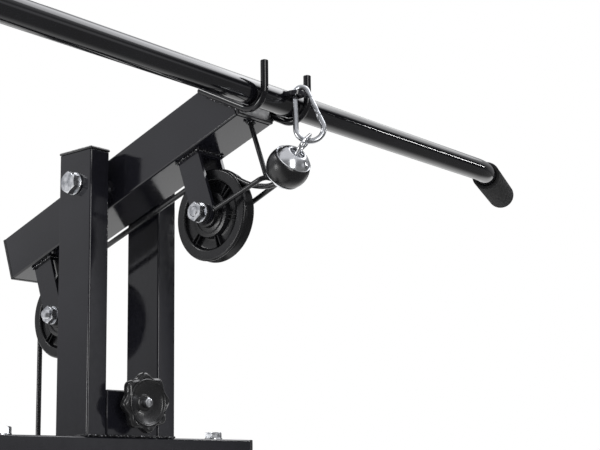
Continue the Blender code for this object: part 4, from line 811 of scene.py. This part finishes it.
def ball():
    """The rubber ball between its plated caps, with their thin rims."""
    link_edge, cable_edge = radians(60.0), radians(55.0)

    def meridian(first, last, steps):
        return [(BALL_R * sin(a), BALL_R * cos(a)) for a in between(first, last, steps)]

    band = meridian(link_edge, pi - cable_edge, 20)
    (head_r, head_z), (foot_r, foot_z) = band[0], band[-1]
    skin = [(0, head_z), (head_r - 0.0006, head_z)] + band[1:-1] + [(foot_r - 0.0006, foot_z), (0, foot_z)]
    rubber = lathe(skin, turn_to(BALL_AXIS, BALL_CENTRE), 96)
    add("ball_rubber", rubber, RUBBER, BAR, "ball_stop")
    for name, axis, edge, socket, depth, node in (
        ("ball_cap_link_side", BALL_AXIS, link_edge, SOCKET_R, SOCKET_DEPTH, "ball_cap_upper"),
        ("ball_cap_cable_side", -BALL_AXIS, cable_edge, CABLE_R + GAP, CABLE_SOCKET_DEPTH, "ball_cap_lower"),
    ):
        dome = meridian(BALL_FLAT, edge, 16)
        rim_r, rim_z = dome[-1]
        floor, rim_low = BALL_TOP - depth, rim_z + GAP
        profile = [(0, floor), (socket - 0.0006, floor), (socket, floor + 0.0006),
                   (socket, BALL_TOP - 0.0008), (socket + 0.0008, BALL_TOP)] + dome[1:-1]
        profile += [(rim_r + 0.0001, rim_z + 0.001), (rim_r + 0.0001, rim_low), (rim_r - 0.0009, rim_low),
                    (0, rim_low)]
        cap = lathe(profile, turn_to(axis, BALL_CENTRE), 96)
        add(name, cap, CAP_CHROME, BAR, node, 30.0)


def carabiner():
    """The carabiner's wire body, its hinged gate and the link it holds."""
    yaw, lean = radians(50.0), radians(10.0)
    across = Vector((cos(yaw), -sin(yaw), 0))
    forward = Vector((sin(yaw), cos(yaw), 0))
    down = -forward * sin(lean) - UP * cos(lean)
    plane = across.cross(down).normalized()
    top_r, low_r, length, gate_length, eye_thick = 0.0063, 0.0133, 0.0552, 0.0205, 0.004
    above = eye_thick / 2 + WIRE_R + 2 * GAP
    crown = EYE_CENTRE + Vector((0, -0.02, 0)) + across * top_r - down * above / cos(lean)
    first, second = Vector((0, top_r)), Vector((low_r - top_r, length - low_r))
    line = second - first
    normal = atan2(line.y, line.x) - pi / 2 - asin((low_r - top_r) / line.length)
    side = Vector((cos(normal), sin(normal)))
    upper, lower = first + side * top_r, second + side * low_r
    run = (lower - upper).normalized()
    span = (lower - upper).length
    nose = upper + run * span * 0.16
    gate_top, gate_low = nose + run * GAP, nose + run * (GAP + gate_length)
    hinge = gate_low + run * 0.0012

    def world(p):
        return crown + across * p[0] + down * p[1]

    def nosed(t):
        """The wire's radius, thinner at its very nose."""
        return WIRE_R * (1 - 0.12 * max(0, 1 - t * count))

    raised = first + Vector((-0.0008, -0.002))
    loop = arc(raised, top_r, normal, -pi, 36) + arc(second, low_r, pi, normal, 48)
    points = [world(p) for p in [nose] + loop + [hinge]]
    count = len(points) - 1
    add("carabiner_body", wire(points, nosed, 28), WIRE_ZINC, BAR, "carabiner", 40.0)
    shape = [0.8, 0.97, 1.0, 1.0, 1.0, 1.0, 1.0, 1.0, 0.97, 0.9, 0.9, 0.97, 0.9]
    gate = [world(gate_top.lerp(gate_low, t)) for t in between(0, 1, len(shape) - 1)]
    bm = wire(gate, stepped([(WIRE_R - 0.0001) * s for s in shape]), 28)
    rivet = world(gate_low - run * 0.003)
    for sign in (-1, 1):
        at = shift(rivet + plane * sign * (WIRE_R - 0.0003))
        bmesh.ops.create_icosphere(bm, subdivisions=3, radius=0.001, matrix=at)
    add("carabiner_gate_fine", bm, WIRE_ZINC, GATE, "carabiner_gate", 40.0)
    # The link: its feet stand in the ball's socket, and its bow hangs in the carabiner's lower bend
    radius, half, contact = 0.0015, 0.0052, radians(-13.0)
    held = world((second.x + low_r * sin(contact), second.y + low_r * cos(contact)))
    tangent = across * cos(contact) - down * sin(contact)
    middle = BALL_CENTRE + BALL_AXIS * (BALL_TOP + radius + 2 * GAP + half)
    way = (held - middle).normalized()
    flat = tangent - way * tangent.dot(way)
    upright = flat.cross(way).normalized()
    upright = upright if upright.dot(BALL_AXIS) > 0 else -upright
    lift = (BALL_AXIS - way * BALL_AXIS.dot(way)).normalized()
    apart = (upright + lift).normalized() * half
    outward = (way - BALL_AXIS * way.dot(BALL_AXIS)).normalized()
    foot = BALL_CENTRE + BALL_AXIS * (BALL_TOP - SOCKET_DEPTH + GAP)
    leg = outward * (SOCKET_R - radius - 3 * GAP)
    bow = held + way * (WIRE_R + 2 * GAP - half + radius + 0.004)
    head = [bow - apart * cos(a) + way * half * sin(a) for a in between(0, pi, 8)]
    knots = [foot + leg, middle - apart + outward * half * 0.9] + head
    knots += [middle + apart - outward * half * 0.2, foot - leg + BALL_AXIS * half, foot - leg]
    add("link_wire", wire(smooth_route(knots, 5), radius, 18), CHROME, BAR, "ball_link")


def cables():
    """The sheathed cable: over both pulleys, down to the carriage, and its tail to the ball."""
    leaves, level = radians(127.0), pi / 2 - BEAM_ANGLE
    front = arc(FRONT_AXLE.yz, CABLE_CENTRE, leaves, level, 24)
    rear = arc(REAR_AXLE.yz, CABLE_CENTRE, level, 0, 30)
    over = [Vector((0, y, z)) for y, z in front + rear]
    add("cable_over", wire(over, CABLE_R, 18), SHEATH, FRAME, "cable_run")
    low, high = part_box("cable_drop")
    line = [Vector((0, DROP_Y, z)) for z in between(high.z, low.z, 60)]
    drop = add("cable_down", wire(line, CABLE_R, 18), SHEATH, FRAME, "cable_drop")
    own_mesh(drop)
    way = Vector((0, -sin(leaves), cos(leaves)))
    start = Vector((0, *front[0])) + way * GAP
    under = beam_place(GUARD_FRONT, GUARD_DROP_FRONT + GUARD_R + CABLE_R + 3 * GAP)
    end = BALL_CENTRE - BALL_AXIS * (BALL_TOP - CABLE_SOCKET_DEPTH + GAP)
    knots = [start, start + way * 0.006, beam_place(0.0291, 0.084), beam_place(0.0125, 0.0945), under,
             end - BALL_AXIS * 0.004, end]
    tail = new_object("cable_end", to_mesh(wire(smooth_route(knots, 12), CABLE_R, 18), "cable_end"))
    dress(tail, SHEATH, "cable_tail")
    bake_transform(tail)
    ferrule = [(0, 0), (0.004, 0), (0.0046, 0.0012), (0.0046, 0.012), (0.0038, 0.0136),
               (CABLE_R + 0.0001, 0.014)]
    place = shift((0, DROP_Y, low.z - GAP))
    add("cable_ferrule", lathe(rounded(ferrule, 0.0008, 2), place, 40), ZINC, CARRIAGE)


def knob():
    """The star knob: lobed rim, dished face with its central land, hub, and the screw's end."""
    place = shift((0, -TUBE / 2 - GAP, TOWER + 0.0343)) @ QUARTER_X
    lobe, wave, phase, bore, face, thick = 0.0312, 0.004, radians(6.5), 0.0052, 0.024, 0.011
    back = face - thick

    def lobed(inset, z, soft):
        def at(a):
            cut = wave * (0.5 - 0.5 * cos(8 * (a - phase))) * soft
            return lobe - cut - inset, z
        return at

    rings = [(r, face - z) for r, z in ((bore, 0.0061), (bore, 0.005), (0.0078, 0.005), (0.009, 0.006))]
    rings += [(r, face - 0.006 + 0.0038 * ((r - 0.009) / 0.0125) ** 1.6)
              for r in (0.011, 0.0135, 0.016, 0.0185, 0.0205, 0.0215)]
    rings += [(r, face - z) for r, z in
              ((0.0222, 0.0011), (0.0228, 0.0003), (0.0236, 0), (0.0243, 0.0004), (0.0247, 0.0012))]
    rings += [lobed(inset, face - z, soft) for inset, z, soft in
              ((0.0034, 0.0002, 0.85), (0.0016, 0.0009, 0.95), (0.0005, 0.0021, 1.0), (0, 0.0036, 1.0))]
    rings += [lobed(inset, back + z, soft) for inset, z, soft in
              ((0, 0.003, 1.0), (0.0006, 0.0014, 1.0), (0.0018, 0.0003, 1.0), (0.004, 0, 0.8))]
    rings += [(r, back - z) for r, z in ((0.0232, 0.0006), (0.0225, 0.0022), (0.0138, 0.007), (0.012, 0.0085))]
    rings += [(0.0115, 0.0008), (0.0111, 0), (bore, 0)]
    star = lathe(rings, place, 192, closed=True)
    add("knob_star", star, KNOB_PLASTIC, KNOB, "star_knob", 40.0)
    stand, stud_r = 0.03, 0.0049
    total = stand + face + 0.0017
    shank = [(0, total), (0.003, total), (0.0041, total - 0.0003), (stud_r, total - 0.0011), (stud_r, 0.032)]
    shank += threads(stud_r, 0, stand, 0.0014)
    stud = lathe(shank, place @ shift((0, 0, -stand)), 40)
    add("knob_stud", stud, ZINC, KNOB, "knob_screw", 25.0)


def tower_welds():
    """Beads where the posts meet the crossbeam and the block."""
    z = TOWER + 0.0008
    for side, word in SIDES:
        route = ring_route(POST_HALF + 0.0006, BEAD_LINE, shift((side * POST_X, 0, z)))
        weld("post_" + word + "_weld", [route], 0.0012, 51 + side)
    rows = [[Vector((x, y, z)) for x in (-0.034, 0.034)] for y in (-BEAD_LINE, BEAD_LINE)]
    weld("block_weld", rows, 0.0011, 55)


# Lower gym

def end_plug(name, at, way):
    """A moulded plug in an open tube end: its flange, its body inside the tube and a raised field."""
    place = turn_to(way, at)
    bm = bmesh.new()
    for inset, low, high, bevel, segments in (
        (0, GAP, 0.0034, 0.0011, 3), (0.0026, -0.014, 0.001, 0.0018, 2), (0.007, 0.0026, 0.0039, 0.0006, 2),
    ):
        half = TUBE / 2 - inset
        block(bm, (-half, -half, low), (half, half, high), place, bevel, segments)
    add(name, bm, PLASTIC, FRAME, None, 40.0)


def rods():
    """Chrome guide rods, rubber bumpers and the sleeves' liners."""
    bore, neck, chamfer = ROD_R + GAP, 0.011, 0.0015
    rod = [(0, ROD_LOW), (neck, ROD_LOW), (ROD_R, ROD_LOW + chamfer), (ROD_R, ROD_TOP - chamfer),
           (neck, ROD_TOP), (0, ROD_TOP)]
    bumper = [(bore, 0), (0.0195, 0), (0.0218, 0.0022), (0.0218, 0.0095), (0.0196, 0.013), (0.0192, 0.0175),
              (0.0196, 0.022), (0.0218, 0.0255), (0.0218, 0.0328), (0.0195, 0.035), (bore, 0.035)]
    bumper = rounded(bumper, 0.0012, 2, closed=True)
    liner = [(bore, 0), (0.0186, 0), (0.019, 0.0006), (0.019, 0.0028), (0.0184, 0.0032), (bore, 0.0032)]
    for side, word in SIDES:
        x = side * ROD_X
        add("rod_" + word, lathe(rod, shift((x, 0, 0)), 72), CHROME, FRAME, "guide_rod_" + word)
        rubber = lathe(bumper, shift((x, 0, ROD_LOW)), 64, closed=True)
        add("bumper_" + word + "_fine", rubber, RUBBER, FRAME, "bumper_" + word, 50.0)
        for level, z in (("low", SLEEVE_LOW + 0.0002), ("high", SLEEVE_TOP - 0.0034)):
            ring = lathe(liner, shift((x, 0, z)), 56, closed=True)
            add("liner_%s_%s" % (word, level), ring, PLASTIC, CARRIAGE)


def rollers():
    """The leg lever's and the seat's foam rollers."""
    out, inner, core, length = 0.04, 0.0098, 0.016, 0.15
    ring = [(inner, 0.0008), (core, 0), (out - 0.004, 0), (out, 0.006), (out * 0.995, length / 2),
            (out, length - 0.006), (out - 0.004, length), (core, length), (inner, length - 0.0008)]
    ring = rounded(ring, 0.007, 5, closed=True)
    for level, y, z in (("lower", LEVER_Y, LOWER_ROLLER_Z), ("upper", FRONT_FOOT_Y, UPPER_ROLLER_Z)):
        for side, word in SIDES:
            place = turn_to((side, 0, 0), (side * (TUBE / 2 + 0.008), y, z))
            node = "%s_roller_%s" % (level, word)
            body = "%s_foam_%s" % (level, word)
            foam = add(node + "_foam", lathe(ring, place, 80, closed=True), FOAM, body, node, 60.0)


def cushion(name, width, length, thickness, place, node):
    """An upholstered pad: a crowned, inflated cover with welted seams."""
    inset, back, voxel = 0.007, 0.0008, 0.0055
    bm = bmesh.new()
    bmesh.ops.create_cube(bm, size=2.0)
    bmesh.ops.subdivide_edges(bm, edges=bm.edges[:], cuts=7, use_grid_fill=True)
    for v in bm.verts:
        u, w, h = v.co
        crown = (1 - u ** 4) * (1 - w ** 4)
        shoulder = 1.0 - 0.22 * max(abs(u), abs(w)) ** 6 if h > 0 else 1.0
        x = u * (width / 2 - inset) * (1 - 0.025 * (1 - w * w))
        y = w * (length / 2 - inset) * (1 - 0.018 * (1 - u * u))
        z = 0.001 + (thickness * 0.8) * ((h + 1) / 2) * (0.9 + 0.1 * crown) * shoulder
        v.co = (x, y, z)
    pad = new_object(name, to_mesh(bm, name))
    modify(pad, "round", "SUBSURF", levels=2, render_levels=2)
    modify(pad, "remesh", "REMESH", mode="VOXEL", voxel_size=voxel)
    apply_all(pad)
    inflate(pad, 4.0, 0.01)
    for v in pad.data.vertices:
        v.co.z = min(max(v.co.z, back), thickness * 1.02)
    modify(pad, "fine", "SUBSURF", levels=1, render_levels=1)
    apply_all(pad)
    pad.data.transform(place)
    dress(pad, VINYL, node)
    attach(pad, FRAME)
    seam(name, pad, width, length, thickness * 0.62, place)
    seam(name + "_low", pad, width, length, 0.006, place, 0.0013)


def apply_all(obj):
    """Replaces the object's mesh by what its modifiers make."""
    bpy.context.view_layer.update()
    graph = bpy.context.evaluated_depsgraph_get()
    mesh = bpy.data.meshes.new_from_object(obj.evaluated_get(graph))
    obj.modifiers.clear()
    obj.data = mesh


def inflate(obj, pressure, cap):
    """Cloth under inner pressure for 20 frames, with the back held and each point's move limited."""
    frames, back = 20, 0.004
    rest = [v.co.copy() for v in obj.data.vertices]
    held = obj.vertex_groups.new(name="held")
    held.add([v.index for v in obj.data.vertices if v.co.z < back], 1.0, "REPLACE")
    cloth = modify(obj, "cloth", "CLOTH")
    s = cloth.settings
    s.quality, s.mass, s.bending_stiffness = 6, 0.25, 0.6
    s.tension_stiffness = s.compression_stiffness = 18
    s.use_pressure, s.uniform_pressure_force = True, pressure
    s.vertex_group_mass = "held"
    s.effector_weights.gravity = 0.0
    cloth.point_cache.frame_start, cloth.point_cache.frame_end = 1, frames
    scene = bpy.context.scene
    for step in range(1, frames + 1):
        scene.frame_set(step)
    apply_all(obj)
    for v, was in zip(obj.data.vertices, rest):
        move = v.co - was
        if move.length > cap:
            v.co = was + move.normalized() * cap
    obj.vertex_groups.clear()
    scene.frame_set(1)


def seam(name, pad, width, length, height, place, radius=0.0019):
    """A welt that follows the cover's side at one height."""
    steps, power = 160, 0.22
    bpy.context.view_layer.update()
    faces = [tuple(p.vertices) for p in pad.data.polygons]
    tree = BVHTree.FromPolygons([v.co for v in pad.data.vertices], faces)
    middle = Vector((0, 0, height))
    centre = place @ middle
    points = []
    for a in between(0, tau, steps)[:-1]:
        c, s = cos(a), sin(a)
        out = Vector((copysign(abs(c) ** power, c) * width, copysign(abs(s) ** power, s) * length, 0))
        start = place @ (middle + out)
        hit, normal, _, _ = tree.ray_cast(start, (centre - start).normalized())
        if hit is not None:
            points.append(hit + normal * radius * 0.15)
    add(name + "_welt", wire(points, radius, 10, cyclic=True), VINYL, FRAME, None, 60.0)


def soft_goods():
    """The seat over its post and the backrest in front of the mast."""
    seat_y = FRONT_FOOT_Y - TUBE / 2 - 0.02 + SEAT_LENGTH / 2
    seat = shift((0, seat_y, SEAT_Z))
    cushion("seat_cushion", SEAT_WIDTH, SEAT_LENGTH, SEAT_THICK, seat, "seat_pad")
    back = shift((0, -TUBE / 2 - GAP, BACK_Z)) @ QUARTER_X
    cushion("back_cushion", BACK_WIDTH, BACK_LENGTH, BACK_THICK, back, "back_pad")


def lower_gym():
    """Plugs in the open tube ends and beads along the frame's joints."""
    half = TUBE / 2
    for side, word in SIDES:
        for part, reach, y, z in (
            ("front_foot", FRONT_FOOT_REACH, FRONT_FOOT_Y, half),
            ("rear_foot", REAR_FOOT_REACH, REAR_FOOT_Y, half),
            ("lower_beam", LOWER_BEAM_REACH, 0, LOWER_BEAM_Z),
        ):
            end_plug(part + "_plug_" + word, (side * reach, y, z), (side, 0, 0))

    def collar(place):
        return ring_route(BEAD_LINE, BEAD_LINE, place)

    mast_ends = [collar(shift((0, 0, z))) for z in (ROD_LOW + 0.0004, ROD_TOP - 0.0005)]
    weld("mast_weld", mast_ends, 0.0017, 61)
    top, side_x = TUBE + 0.0006, half + 0.0005
    rows = []
    for y in (FRONT_FOOT_Y + half, REAR_FOOT_Y - half):
        rows.append([Vector((x, y, top)) for x in (-half, half)])
        rows += [[Vector((x, y, z)) for z in (0.004, 0.049)] for x in (-side_x, side_x)]
    weld("rail_weld", rows, 0.0017, 62)
    cross = [[Vector((x, y, top)) for x in (-half, half)] for y in (-BEAD_LINE, BEAD_LINE)]
    weld("lower_beam_weld", cross, 0.0015, 63)
    seat_post = collar(shift((0, FRONT_FOOT_Y, TUBE + 0.0008)))
    rail_end = collar(shift((0, -half - 0.0008, 0.415)) @ QUARTER_X)
    weld("seat_weld", [seat_post, rail_end], 0.0016, 64)
    lug_y, lug_low, lug_top = FRONT_FOOT_Y - BEAD_LINE, LEVER_Z - 0.02, LEVER_Z + 0.02
    lugs = [[Vector((x, lug_y, z)) for z in (lug_low, lug_top)] for x in (-side_x, side_x)]
    weld("lug_weld", lugs, 0.0014, 65)
    arm_y, arm_half = 0.109, 0.0156
    arms = [[Vector((x + dx, arm_y, z)) for z in (0.18, 0.212)]
            for x in (-ROD_X, ROD_X) for dx in (-arm_half, arm_half)]
    weld("carriage_weld", arms, 0.0016, 66, CARRIAGE)
    horn_r, horn = 0.01972, Vector((0, -0.517, 0.222))
    ring = [horn + Vector((horn_r * cos(a), 0, horn_r * sin(a))) for a in between(0, tau, 12)]
    weld("lever_weld", [ring], 0.0013, 67, LEVER)


def dress_nodes():
    """Finishes for the CAD pieces that stay, with their edges eased."""
    slots = {s["node"]: s["material_slot"] for s in frame["record"]["subparts"]}
    for name, obj in frame["nodes"].items():
        if obj.hide_render:
            continue
        slot = slots[name]
        obj.data.materials.clear()
        obj.data.materials.append(LOOKS[slot])
        modify(obj, "merge", "WELD", merge_threshold=0.00002)
        modify(obj, "ease", "BEVEL", width=EASE.get(slot, EASE_OTHERS), segments=2, limit_method="ANGLE",
               angle_limit=radians(40))
        modify(obj, "level", "WEIGHTED_NORMAL", keep_sharp=False)
        obj.data.shade_smooth()


camera()
studio()
lat_bar()
hooks()
guard()
bracket_welds()
pulley("front_wheel_fine", FRONT_AXLE, "front_wheel", "front_pulley")
pulley("rear_wheel_fine", REAR_AXLE, "rear_wheel", "rear_pulley")
fasteners()
ball()
carabiner()
cables()
knob()
tower_welds()
rods()
rollers()
lower_gym()
soft_goods()
dress_nodes()
